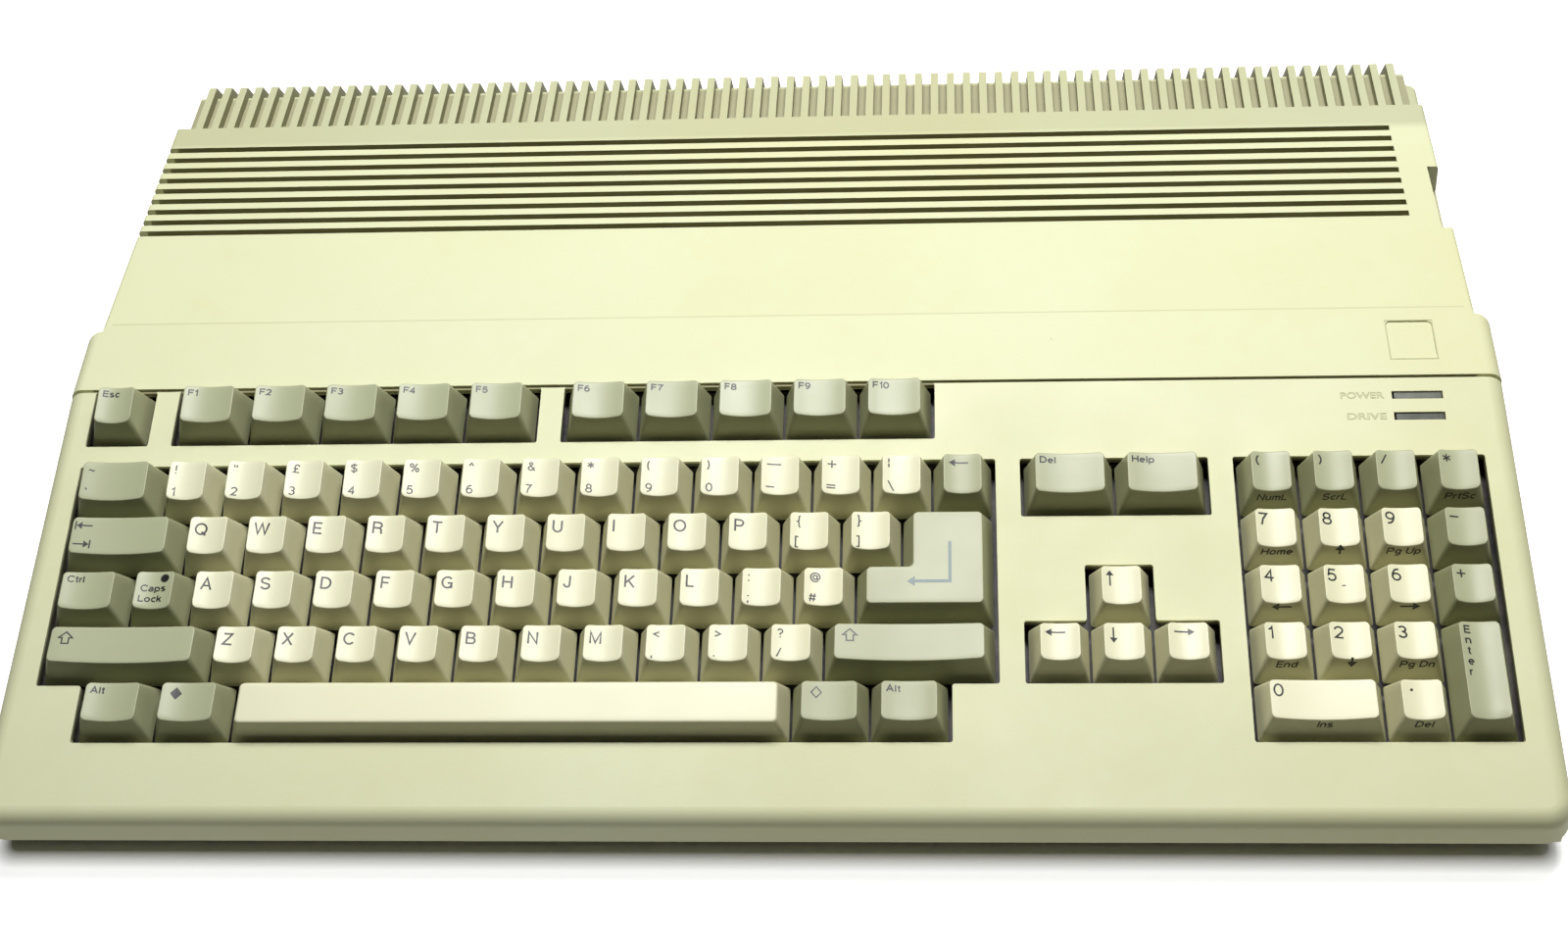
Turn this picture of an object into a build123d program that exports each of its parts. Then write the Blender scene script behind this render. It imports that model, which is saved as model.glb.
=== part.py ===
from build123d import *
import math
import os

os.makedirs("parts", exist_ok=True)

# Wedge-shaped home computer with a full keyboard in its lid. Millimetres, +Z up, +Y to the rear.
# The origin is on the table, under the middle of the case.

# Case envelope
deck_side_margin = 13.1625  # key grid to the case side
case_depth = 330.0
wall = 3.0
side_inset = 5.5            # outer face to cavity, at the sides
foot_height = 3.0
seam_front_z = 13.5         # joint between the two shells, at the front face
seam_rear_z = 32.0
side_draft = 3.5            # degrees
front_corner_radius = 9.0
rear_corner_radius = 5.0
edge_radius = 5.5           # round between deck and sides
band_edge_radius = 4.6
shoulder_radius = 1.5
shell_step = 0.6            # the lower shell stands in from the upper one by this
front_undercut = 8.0        # the lower shell recedes by this at the foot of the front
rear_undercut = 2.0
bottom_bevel = 2.0
bottom_bevel_height = 5.0

# Lid profile
deck_slope = 13.5           # degrees
deck_front_z = 23.7
crease_margin = 1.5         # back line of the key grid to the crease
band_slope = 4.8
band_depth = 29.7           # crease to the crest, where the lid steps in
plateau_fall = 1.2
plateau_inset = 7.8         # case side to the plateau's edge
plateau_edge_radius = 1.4
crease_groove_width = 1.2
crease_groove_depth = 1.0

# Cooling ribs across the rear, measured in from the rear face and the sides
rib_margin = 43.2
rib_tip_margin = 17.8
rib_foot_margin = 3.4
rib_base_inset = 11.0
rib_end_gap = 2.0
rib_pitch = 5.97
rib_thickness = 2.8
rib_depth = 3.6
shoulder_height = 5.0       # low step that carries the ribs and the raised rear, above the seam

# Grooves in front of the ribs
groove_count = 9
groove_pitch = 6.0
groove_width = 2.8
groove_depth = 2.0
groove_to_rib = 13.4        # middle of the last groove to the ribs
groove_right_margin = 21.5
groove_side_drop = 7.0
groove_side_depth = 1.6

# Key grid
key_pitch = 19.05
key_front_setback = 25.4    # front face to the front line of the grid
grid_units = 23.5
well_clearance = 0.93
well_corner_radius = 0.8
function_row = 5.5

# Keycaps, heights from the deck surface along its normal
skirt_bottom = -3.6
cap_gap = 0.85              # between two neighbouring skirts
cap_top_inset = 3.05        # skirt to top face, at the left and right
cap_base_radius = 1.0
cap_top_radius = 1.9
cap_wall = 1.3
cap_roof = 1.8
dish_depth = 0.8
key_travel = 3.8
stem_diameter = 4.6
stem_clearance = 0.2
stem_reach = 0.8            # stem below the frame's top face, at rest
guide_diameter = 7.4
skirt_gap = 0.6             # skirt to frame, and guide tube to cap roof, with the key down
stem_gap = 0.3              # stem to contact film, with the key down
row_top = [7.2, 7.0, 7.0, 7.5, 8.3, 8.6]         # height of the middle of the top face, front row first
row_tilt = [-2.0, -2.0, 0.0, 2.0, 3.0, 3.0]      # degrees, positive leans the top towards the user
row_front_inset = [4.6, 4.4, 3.9, 3.6, 3.6, 3.8]
row_back_inset = [2.2, 2.3, 2.3, 2.2, 2.0, 2.0]

# Keyboard unit under the deck
frame_thickness = 2.5
frame_margin = 3.0
membrane_thickness = 0.6
back_plate_thickness = 1.2
deck_post_diameter = 5.0
controller_length = 110.0
controller_depth = 26.0
controller_gap = 3.0
controller_place = (10.0, 2.2)
rest_x = [-150.0, 0.0, 150.0]
rest_setback = 34.0
rest_gap = 0.3

# Indicator windows, in the right rear corner of the deck
window_length = 15.8
window_height = 2.7
window_right_margin = 22.7  # case side to window, at half width of the case
window_drops = [13.3, 5.5]     # back line of the key grid to each window's middle
lens_clearance = 0.1
lens_depth = 3.4
led_height = 1.4
led_board_gap = 0.3
led_board_length = 46.0
led_board_depth = 18.0
board_thickness = 1.6

# Recess for a badge, on the band
badge_width = 14.6
badge_length = 16.2
badge_depth = 0.5
badge_radius = 1.6
badge_right_margin = 29.7
badge_run = 15.6            # crease to the badge's middle

# Disk drive, in the right side
drive_width = 101.6
drive_height = 25.4
drive_length = 146.0
drive_centre_margin = 99.6  # middle of the drive to the rear face
drive_bottom_z = 25.0
bezel_bottom_z = 30.0
bezel_height = 19.0
bezel_clearance = 0.4
bezel_thickness = 3.5
disk_slot_width = 94.0
disk_slot_height = 5.2
disk_slot_z = 41.0
disk_depth = 92.0
finger_notch_margin = 95.9
finger_notch_width = 33.3
finger_notch_depth = 3.9
button_width = 13.0
button_height = 5.0
button_z = 34.5
button_offset = 32.0
button_proud = 2.4
button_travel = 2.4
button_clearance = 0.3
drive_wall = 1.2

lamp_width = 5.0
# Posts under the drive, from the bezel's back and the drive's middle
drive_post_places = [(-126.2, -35.4), (-126.2, 39.6), (-18.2, -35.4), (-18.2, 39.6)]

# Main board, chips and screens
board_left_margin = 24.0    # case side to board
board_drive_gap = 12.2
board_front_setback = 82.0
board_rear_margin = 12.0
board_arm_margin = 34.0     # front of the arm to the rear face
board_arm_right_margin = 25.0
board_z = 12.0
screen_thickness = 0.8
lower_screen_z = 9.2
upper_screen_z = 22.0
screen_margin = 3.0
screen_rear_margin = 42.0
screen_slot_pitch = 10.8
screen_slot_width = 4.0
screen_slot_length = 60.0
screen_slot_margin = 12.0
pad_radius = 5.0
board_post_radius = 3.2
# Places on the board run from its left and front edges, or where negative from its right and rear ones
main_post_places = [(13.0, 10.0), (-48.0, 10.0), (13.0, 143.0), (-18.0, 143.0), (23.0, -14.0), (-43.0, -14.0)]
arm_post_places = [(-87.0, -15.0), (-7.0, -15.0)]
chip_64 = (82.0, 23.0, 5.0)
chip_48 = (62.0, 15.0, 4.5)
chip_40 = (52.0, 14.0, 4.5)
chip_84 = (29.0, 29.0, 4.0)
big_chips = [(93.0, 38.0, chip_64), (73.0, 78.0, chip_48), (73.0, 108.0, chip_48),
             (153.0, 118.0, chip_84), (153.0, 83.0, chip_40), (-48.0, 83.0, chip_40), (-48.0, 113.0, chip_40)]
memory_columns = 8
memory_rows = 2
memory_place = (38.0, 143.0)
memory_pitch_x = 25.0
memory_pitch_y = 17.0
memory_chip = (21.0, 8.0, 4.0)
edge_tab_length = 62.0
edge_tab_depth = 11.0

# Sockets in the rear wall
socket_z = 20.5
dsub_height = 12.4
dsub_shell_height = 8.4
dsub_proud = 6.0
dsub_flange = 1.2
dsub_body_depth = 11.0
dsub_skirt = 0.9
dsub_well = 5.4
socket_clearance = 0.4
dsub_sockets = {"video": (-166.0, 38.0), "printer": (-66.0, 41.0), "serial": (-6.0, 41.0),
                "disk": (54.0, 38.0), "left_game": (146.0, 17.0), "right_game": (188.0, 17.0)}
dsub_ear = 6.0              # flange beyond the shell, each side
jack_radius = 4.2
jack_bore = 2.2
jack_plate = 11.0
jack_proud = 8.0
jack_x = [-206.0, 96.0, 113.0]
power_x = -115.0
power_size = 16.0
power_well = 8.0
power_wall = 2.0
power_bottom_z = 13.6
socket_end_inset = 0.6      # rear face to the sockets' ends
dsub_taper = 0.18
dsub_corner_radius = 1.6
dsub_post_radius = 2.2
dsub_post_length = 5.0
closed_sockets = ["printer", "disk"]

# Covers, feet and screws
cover_margin = 94.0         # middle of the expansion cover to the rear face
cover_length = 84.0
cover_height = 13.0
cover_bottom_z = 8.0
cover_proud = 0.8
cover_clearance = 0.3
cover_seat = 0.5
cover_ridges = 6
cover_ridge_pitch = 11.0
trapdoor_x = -40.0
trapdoor_setback = 150.0
trapdoor_width = 92.0
trapdoor_length = 116.0
trapdoor_thickness = 2.0
foot_radius = 8.0
foot_edge_radius = 0.6
foot_side_margin = 32.0
foot_front_margin = 28.0
foot_rear_margin = 30.0
screw_radius = 1.5
screw_head_radius = 3.0
screw_head_height = 2.2
screw_length = 12.0
screw_clearance = 0.05
boss_radius = 4.0
boss_split_z = 8.0
front_screw_x = [-160.0, 60.0, 160.0]
front_screw_margin = 15.5
side_screw_margin = 14.0
left_screw_margins = [140.0, 38.0]      # to the rear face
right_screw_margins = [32.0]

# How a primitive sits on its place
standing = (Align.CENTER, Align.CENTER, Align.MIN)
hanging = (Align.CENTER, Align.CENTER, Align.MAX)

# Values that follow from the sizes above
grid_width = grid_units * key_pitch
grid_depth = (function_row + 1) * key_pitch
case_width = grid_width + 2 * deck_side_margin
front_y = -case_depth / 2
rear_y = case_depth / 2
seam_slope = (seam_rear_z - seam_front_z) / case_depth
deck_rise = math.tan(math.radians(deck_slope))
crease_setback = key_front_setback + grid_depth * math.cos(math.radians(deck_slope)) + crease_margin
crease_y = front_y + crease_setback
crest_y = crease_y + band_depth
rib_y = rear_y - rib_margin
tip_y = rear_y - rib_tip_margin
rib_foot_y = rear_y - rib_foot_margin
crease_z = deck_front_z + crease_setback * deck_rise
crest_z = crease_z + (crest_y - crease_y) * math.tan(math.radians(band_slope))
draft_rate = math.tan(math.radians(side_draft))
half_width = case_width / 2
cavity_half = half_width - side_inset
plateau_half = half_width - plateau_inset
rib_base_width = case_width - 2 * rib_base_inset
rib_count = int((rib_base_width - 2 * rib_end_gap - rib_thickness) / rib_pitch) + 1
key_front_y = front_y + key_front_setback
key_front_z = deck_front_z + key_front_setback * deck_rise
case_top_z = crest_z + 2 * wall
screw_seat_z = foot_height + screw_head_height
screw_tip_z = screw_seat_z + screw_length
frame_top = skirt_bottom - key_travel - skirt_gap
guide_top = min(row_top) - cap_roof - key_travel - skirt_gap
frame_skirt = stem_reach + key_travel + stem_gap - frame_thickness
membrane_top = frame_top - frame_thickness - frame_skirt
keyboard_bottom = membrane_top - membrane_thickness - back_plate_thickness
bezel_back_x = plateau_half - wall
led_board_top = -lens_depth - led_height - led_board_gap
window_rows = [grid_depth - drop for drop in window_drops]
drive_y = rear_y - drive_centre_margin
notch_y = rear_y - finger_notch_margin
drive_posts = [(bezel_back_x + x, drive_y + y) for x, y in drive_post_places]
board_left_x = board_left_margin - half_width
board_right_x = bezel_back_x - drive_length - board_drive_gap
board_arm_right_x = half_width - board_arm_right_margin
board_front_y = front_y + board_front_setback
board_rear_y = rear_y - board_rear_margin
cover_y = rear_y - cover_margin
trapdoor_y = front_y + trapdoor_setback
socket_end_y = rear_y - socket_end_inset
deck = Plane(
    origin=(-grid_width / 2, key_front_y, key_front_z),
    x_dir=(1, 0, 0),
    z_dir=(0, -math.sin(math.radians(deck_slope)), math.cos(math.radians(deck_slope))),
)


def on_board(x, y, right_x=board_right_x):
    """Place on the board, from its left and front edges or, where negative, its right and rear ones."""
    return (x + (board_left_x if x >= 0 else right_x), y + (board_front_y if y >= 0 else board_rear_y))


board_posts = [on_board(*place) for place in main_post_places]
board_posts += [on_board(*place, board_arm_right_x) for place in arm_post_places]
foot_places = [(side * (half_width - foot_side_margin), y) for side in (-1, 0, 1)
               for y in (front_y + foot_front_margin, rear_y - foot_rear_margin)]
screw_places = [(x, front_y + front_screw_margin) for x in front_screw_x]
screw_places += [(side_screw_margin - half_width, rear_y - margin) for margin in left_screw_margins]
screw_places += [(half_width - side_screw_margin, rear_y - margin) for margin in right_screw_margins]


def seam_z(y):
    return seam_front_z + (y - front_y) * seam_slope


def deck_z(y):
    return deck_front_z + (y - front_y) * deck_rise


def band_z(y):
    return crease_z + (y - crease_y) * math.tan(math.radians(band_slope))


def plateau_z(y):
    return crest_z - (y - crest_y) * math.tan(math.radians(plateau_fall))


def side_prism(points, width, x=0.0):
    """Side profile, as (y, z) points, drawn across the case."""
    face = Plane.YZ.offset(x) * Polygon(*points, align=None)
    return extrude(face, amount=width / 2, both=True)


def block(x0, x1, y0, y1, z0, z1):
    return Pos(x0, y0, z0) * Box(x1 - x0, y1 - y0, z1 - z0, align=(Align.MIN, Align.MIN, Align.MIN))


def upright(radius, z0, z1, x, y):
    column = Cylinder(radius, z1 - z0, align=standing)
    return Pos(x, y, z0) * column


def write(name, shape):
    export_step(shape, f"parts/{name}.step")


def group(pieces):
    return Compound([solid for piece in pieces for solid in piece.solids()])


def case_outline(inset):
    """Plan of the case, rounded more at the front corners than at the rear ones."""
    plan = Rectangle(case_width - 2 * inset, case_depth - 2 * inset)
    rear = plan.vertices().sort_by(Axis.Y)[2:]
    plan = fillet(rear, rear_corner_radius)
    front = plan.vertices().sort_by(Axis.Y)[:2]
    return fillet(front, front_corner_radius)


# Key layout: name, first column, first row, width, depth, in key units. Row 0 is the front one.
def row_of(count, start, row, width=1.0):
    return [(start + i * width, row, width, 1.0) for i in range(count)]


key_nodes = {
    "key_left_alt": [(0.75, 0, 1.25, 1)],
    "key_left_special": [(2.0, 0, 1.25, 1)],
    "key_space_bar": [(3.25, 0, 9, 1)],
    "key_right_special": [(12.25, 0, 1.25, 1)],
    "key_right_alt": [(13.5, 0, 1.25, 1)],
    "key_left_shift": [(0, 1, 2.75, 1)],
    "keys_z_row": row_of(10, 2.75, 1),
    "key_right_shift": [(12.75, 1, 2.75, 1)],
    "key_ctrl": [(0, 2, 1.25, 1)],
    "key_caps_lock": [(1.25, 2, 1, 1)],
    "keys_a_row": row_of(11, 2.25, 2),
    "key_return": [(13.25, 2, 2.25, 1), (14.0, 2, 1.5, 2)],
    "key_tab": [(0, 3, 2, 1)],
    "keys_q_row": row_of(12, 2, 3),
    "key_tilde": [(0, 4, 1.5, 1)],
    "keys_number_row": row_of(13, 1.5, 4),
    "key_backspace": [(14.5, 4, 1, 1)],
    "key_esc": [(0, function_row, 1, 1)],
    "keys_f1_to_f5": row_of(5, 1.5, function_row, 1.25),
    "keys_f6_to_f10": row_of(5, 8.25, function_row, 1.25),
    "key_del": [(16, 4, 1.5, 1)],
    "key_help": [(17.5, 4, 1.5, 1)],
    "key_up": [(17, 2, 1, 1)],
    "key_left": [(16, 1, 1, 1)],
    "key_down": [(17, 1, 1, 1)],
    "key_right": [(18, 1, 1, 1)],
    "keys_pad_123": row_of(3, 19.5, 1),
    "keys_pad_456": row_of(3, 19.5, 2),
    "keys_pad_789": row_of(3, 19.5, 3),
    "key_pad_0": [(19.5, 0, 2, 1)],
    "key_pad_point": [(21.5, 0, 1, 1)],
    "key_pad_enter": [(22.5, 0, 1, 2)],
    "key_pad_plus": [(22.5, 2, 1, 1)],
    "key_pad_minus": [(22.5, 3, 1, 1)],
    "key_pad_open": [(19.5, 4, 1, 1)],
    "key_pad_close": [(20.5, 4, 1, 1)],
    "key_pad_divide": [(21.5, 4, 1, 1)],
    "key_pad_times": [(22.5, 4, 1, 1)],
}
# Openings in the deck: first column, first row, width, depth
well_groups = [
    [(0, 1, 15.5, 4), (0.75, 0, 14, 1)],
    [(0, function_row, 1, 1)],
    [(1.5, function_row, 6.25, 1)],
    [(8.25, function_row, 6.25, 1)],
    [(16, 4, 3, 1)],
    [(16, 1, 3, 1), (17, 1, 1, 2)],
    [(19.5, 0, 4, 5)],
]
# Posts that hang the keyboard unit under the deck, in key units between the wells
deck_posts = [(0.3, 0.5), (1.25, 5.25), (8.0, 5.25), (14.9, 5.25), (15.75, 0.5), (15.75, 4.5),
              (17.5, 3.5), (19.25, 0.5), (19.25, 4.5)]


def units(x, y):
    return x * key_pitch, y * key_pitch


def stem_places(column, row, width, depth):
    """Centres of a key's stems; a long key has one near each end as well."""
    i = row_index(row)
    x, y = units(column + width / 2, row + depth / 2)
    y += (row_front_inset[i] - row_back_inset[i]) / 2
    reach = (width / 2 - 0.75) * key_pitch
    if width > 4:
        return [(x - reach, y), (x, y), (x + reach, y)]
    return [(x, y)]


def row_index(row):
    return min(round(row + 0.01), len(row_top) - 1)


def cap_face(column, row, width, depth, height, inset, radius, offset=0.0):
    """Rounded rectangle of one keycap at a height; inset as (side, front, back)."""
    side, front, back = inset
    w = width * key_pitch - cap_gap - 2 * side
    d = depth * key_pitch - cap_gap - front - back
    x, y = units(column + width / 2, row + depth / 2)
    tilt = row_tilt[row_index(row)] if offset else 0.0
    centre = Pos(x, y + (front - back) / 2, height)
    return centre * Rot(tilt * offset, 0, 0) * RectangleRounded(w, d, radius)


def cap_body(column, row, width, depth, shrink, bottom, roof):
    """Tapered body of a keycap, or its hollow when it is drawn smaller."""
    i = row_index(row)
    top = row_top[i] - roof
    insets = (cap_top_inset + shrink, row_front_inset[i] + shrink, row_back_inset[i] + shrink)
    base = cap_face(column, row, width, depth, bottom, (shrink,) * 3, max(cap_base_radius - shrink, 0.4))
    face = cap_face(column, row, width, depth, top, insets, max(cap_top_radius - shrink, 0.6), 1.0)
    return loft([base, face])


def dish(column, row, width, depth):
    """Cylinder that hollows the top face from side to side."""
    i = row_index(row)
    half = (width * key_pitch - cap_gap) / 2 - cap_top_inset
    radius = (half**2 + dish_depth**2) / (2 * dish_depth)
    x, y = units(column + width / 2, row + depth / 2)
    roll = Cylinder(radius, depth * key_pitch * 2, rotation=(90, 0, 0))
    return Pos(x, y, row_top[i]) * Rot(row_tilt[i], 0, 0) * Pos(0, 0, radius - dish_depth) * roll


def keycap(cells):
    """One hollow cap, of one or two overlapping cells, with its stems, in deck coordinates."""
    outer = Part() + [cap_body(*cell, 0.0, skirt_bottom, 0.0) for cell in cells]
    hollow = Part() + [cap_body(*cell, cap_wall, skirt_bottom - 1.0, cap_roof) for cell in cells]
    column, row, width, depth = cells[0]
    dished = len(cells) == 1 and width < 4
    if dished:
        outer -= dish(*cells[0])
    shell = outer - hollow
    places = stem_places(*cells[-1])
    stem_top = row_top[row_index(row)] - cap_roof
    stem_bottom = frame_top - stem_reach
    rod = Cylinder(stem_diameter / 2, stem_top - stem_bottom, align=standing)
    stems = [Pos(x, y, stem_bottom) * rod for x, y in places]
    return shell + stems


def well_cut(margin, low, high):
    """Openings around the keys, as one solid in deck coordinates."""
    cuts = []
    for cells in well_groups:
        plan = Sketch()
        for column, row, width, depth in cells:
            x, y = units(column + width / 2, row + depth / 2)
            plan += Pos(x, y) * Rectangle(width * key_pitch + 2 * margin, depth * key_pitch + 2 * margin)
        plan = fillet(plan.vertices(), well_corner_radius)
        cuts.append(Pos(0, 0, low) * extrude(plan, amount=high - low))
    return cuts


def window_place(height):
    return grid_width / 2 + half_width - window_right_margin - window_length / 2, height


def window_cut(grow, low, high):
    """One solid for each indicator window, in deck coordinates."""
    pieces = []
    for height in window_rows:
        x, y = window_place(height)
        pane = Box(window_length + 2 * grow, window_height + 2 * grow, high - low,
                   align=standing)
        pieces.append(Pos(x, y, low) * pane)
    return pieces


# ---- upper shell ----

def drafted_prism(plan, height):
    """Plan drawn up from the front seam height, its walls leaning in by the side draft."""
    return extrude(Pos(0, 0, seam_front_z) * plan, amount=height, taper=side_draft)


def deck_part():
    """The lid from the front face to the crease, sides and front rounded into the deck."""
    body = drafted_prism(case_outline(0), case_top_z)
    outside = front_y - wall
    keep = side_prism([
        (outside, seam_z(outside)),
        (crease_y, seam_z(crease_y)),
        (crease_y, crease_z),
        (outside, deck_front_z - wall * deck_rise),
    ], case_width + wall)
    body &= keep
    top = body.faces().sort_by(lambda f: f.normal_at().dot(deck.z_dir))[-1]
    rim = [e for e in top.edges() if abs((e @ 0.5).Y - crease_y) > 0.01]
    return fillet(rim, edge_radius)


def band_part():
    """The lid from the crease to where it steps in, with rounded rear corners."""
    body = drafted_prism(Rectangle(case_width, case_depth), case_top_z)
    body &= side_prism([
        (crease_y, seam_z(crease_y)),
        (crest_y, seam_z(crest_y)),
        (crest_y, band_z(crest_y)),
        (crease_y, crease_z),
    ], case_width + wall)
    corners = [e for e in body.edges() if abs(e.tangent_at(0.5).Z) > 0.9 and (e @ 0.5).Y > crest_y - 0.01]
    body = fillet(corners, rear_corner_radius)
    top = body.faces().filter_by(lambda f: f.normal_at().Z > 0.9).sort_by(Axis.Z)[-1]
    sides = [e for e in top.edges() if abs(e.tangent_at(0.5).X) < 0.9]
    return fillet(sides, band_edge_radius)


def raised_part():
    """The narrower plateau behind the crest, up to the front of the ribs."""
    start_y = crest_y - 2 * rear_corner_radius
    foot = plateau_half + draft_rate * (crest_z - seam_front_z)
    body = drafted_prism(Rectangle(2 * foot, case_depth), case_top_z)
    body &= side_prism([
        (start_y, seam_z(start_y)),
        (rib_y, seam_z(rib_y)),
        (rib_y, plateau_z(rib_y)),
        (crest_y, crest_z),
        (start_y, band_z(start_y)),
    ], case_width)
    top = body.faces().filter_by(lambda f: f.normal_at().Z > 0.9 and f.center().Y > crest_y)[0]
    sides = [e for e in top.edges() if abs(e.tangent_at(0.5).Y) > 0.9]
    return fillet(sides, plateau_edge_radius)


def shoulder_part():
    """Low step all round the rear, just above the seam."""
    body = drafted_prism(case_outline(0), case_top_z)
    outside = rear_y + wall
    body &= side_prism([
        (crease_y, seam_z(crease_y)),
        (outside, seam_z(outside)),
        (outside, seam_z(outside) + shoulder_height),
        (crease_y, seam_z(crease_y) + shoulder_height),
    ], case_width + wall)
    top = body.faces().sort_by(lambda f: f.normal_at().Z)[-1]
    rim = [e for e in top.edges() if (e @ 0.5).Y > crease_y + 0.01]
    return fillet(rim, shoulder_radius)


def rib_lines():
    """Tip and foot of the ribs' back edge, and the same edge moved in by a depth."""
    tip = Vector(tip_y, plateau_z(tip_y))
    foot = Vector(rib_foot_y, seam_z(rib_foot_y) + shoulder_height)
    along = (foot - tip).normalized()
    outward = Vector(-along.Y, along.X)
    return tip, foot, along, outward


def inner_edge(depth, end_z):
    """Where the back edge moved in by a depth meets the plateau's line lowered by it, and a height."""
    tip, foot, along, outward = rib_lines()
    start = tip - outward * depth
    slope = -math.tan(math.radians(plateau_fall))
    top_z = plateau_z(start.X) - depth
    run = (top_z - start.Y) / (along.Y - slope * along.X)
    bend = start + along * run
    end = start + along * ((end_z - start.Y) / along.Y)
    return (bend.X, bend.Y), (end.X, end.Y)


def rib_part():
    """Ribs and the lower floor that they stand on."""
    tip, foot, along, outward = rib_lines()
    base_z = seam_z(rear_y)
    bend, end = inner_edge(rib_depth, base_z)
    floor = side_prism([
        (rib_y - wall, seam_z(rib_y)),
        end,
        bend,
        (rib_y - wall, plateau_z(rib_y - wall) - rib_depth),
    ], rib_base_width)
    deep_bend, deep_end = inner_edge(rib_depth + wall / 2, foot.Y)
    profile = [
        (rib_y, plateau_z(rib_y) - rib_depth - wall / 2),
        deep_bend,
        deep_end,
        (foot.X, foot.Y),
        (tip.X, tip.Y),
        (rib_y, plateau_z(rib_y)),
    ]
    first_x = -rib_pitch * (rib_count - 1) / 2
    ribs = [side_prism(profile, rib_thickness, first_x + i * rib_pitch) for i in range(rib_count)]
    return floor, ribs


def lid_cavity():
    """Room inside the lid."""
    lower = -wall
    slant = wall / math.cos(math.radians(deck_slope))
    inner_front = front_y + wall + shell_step + 1.0
    inner_end = crest_y - wall
    under_deck = side_prism([
        (inner_front, seam_z(inner_front) + lower),
        (inner_end, seam_z(inner_end) + lower),
        (inner_end, band_z(inner_end) - wall),
        (crease_y, crease_z - slant),
        (inner_front, deck_z(inner_front) - slant),
    ], 2 * cavity_half)
    inner_rib = rib_y - wall
    under_plateau = side_prism([
        (crease_y, seam_z(crease_y) + lower),
        (inner_rib, seam_z(inner_rib) + lower),
        (inner_rib, plateau_z(inner_rib) - wall),
        (crest_y, crest_z - wall),
        (crease_y, band_z(crease_y) - slant),
    ], 2 * (plateau_half - wall))
    bend, end = inner_edge(rib_depth + wall, seam_z(rear_y) + lower)
    under_ribs = side_prism([
        (inner_rib - wall, seam_z(inner_rib) + lower),
        end,
        bend,
        (inner_rib - wall, plateau_z(inner_rib - wall) - rib_depth - wall),
    ], rib_base_width - 2 * wall)
    inner_rear = rear_y - side_inset
    behind = side_prism([
        (crease_y, seam_z(crease_y) + lower),
        (inner_rear, seam_z(inner_rear) + lower),
        (inner_rear, seam_z(inner_rear) + shoulder_height - wall),
        (crease_y, seam_z(crease_y) + shoulder_height - wall),
    ], 2 * cavity_half)
    return under_deck + under_plateau + under_ribs + behind


def crease_groove():
    """Fine groove across the lid and down both sides at the crease."""
    low = seam_z(crease_y) + shoulder_height
    top = crease_z - crease_groove_depth
    foot_half = half_width - draft_rate * (low - seam_front_z) - crease_groove_depth
    top_half = half_width - draft_rate * (crease_z - seam_front_z) - crease_groove_depth
    core = Polygon((-foot_half, low), (foot_half, low), (top_half, top), (-top_half, top), align=None)
    core = fillet(core.vertices().sort_by(Axis.Y)[2:], edge_radius - crease_groove_depth)
    sheet = Pos(0, (low + case_top_z) / 2) * Rectangle(case_width + wall, case_top_z - low) - core
    front_plane = Plane(origin=(0, crease_y, 0), x_dir=(1, 0, 0), z_dir=(0, -1, 0))
    return extrude(front_plane * sheet, amount=crease_groove_width / 2, both=True)


def vent_grooves():
    """Long grooves across the plateau that run out through its left edge."""
    cuts = []
    for i in range(groove_count):
        y = rib_y - groove_to_rib - i * groove_pitch
        z = plateau_z(y)
        near, far = y - groove_width / 2, y + groove_width / 2
        left = -plateau_half - draft_rate * groove_side_drop
        cuts.append(block(-half_width, half_width - groove_right_margin, near, far, z - groove_depth, z + wall))
        side = left + groove_side_depth
        cuts.append(block(-half_width, side, near, far, z - groove_side_drop, z + wall))
    return cuts


def drive_cuts():
    """Opening for the drive's front in the right side, and the finger notch above it."""
    half = drive_width / 2 + bezel_clearance
    notch = finger_notch_width / 2
    front = block(plateau_half - 2 * wall, half_width + wall, drive_y - half, drive_y + half,
                  bezel_bottom_z - bezel_clearance, bezel_bottom_z + bezel_height + bezel_clearance)
    finger = block(plateau_half - finger_notch_depth, half_width + wall, notch_y - notch, notch_y + notch,
                   bezel_bottom_z + bezel_height / 2, case_top_z)
    return [front, finger]


def lid_bosses():
    """Screw bosses that reach down to the lower shell, with blind holes."""
    bosses = Part()
    holes = []
    for x, y in screw_places:
        under = deck_z(y) if y < crease_y else plateau_z(y)
        top = under - wall / 2 if y < rib_y else under - rib_depth - wall / 2
        bosses += upright(boss_radius, boss_split_z, top, x, y)
        holes.append(upright(screw_radius + screw_clearance, boss_split_z - wall, screw_tip_z + wall, x, y))
    return bosses, holes


def deck_hangers():
    """Posts under the deck that the keyboard unit and the indicator board hang from."""
    posts = []
    for column, row in deck_posts:
        x, y = units(column, row)
        length = -frame_top - wall / 2
        rod = Cylinder(deck_post_diameter / 2, length, align=standing)
        posts.append(Pos(x, y, frame_top) * rod)
    x, y = window_place(sum(window_rows) / 2)
    for side in (-1, 1):
        length = -led_board_top - wall / 2
        rod = Cylinder(deck_post_diameter / 2, length, align=standing)
        posts.append(Pos(x + side * led_board_length * 0.4, y, led_board_top) * rod)
    return posts


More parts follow.
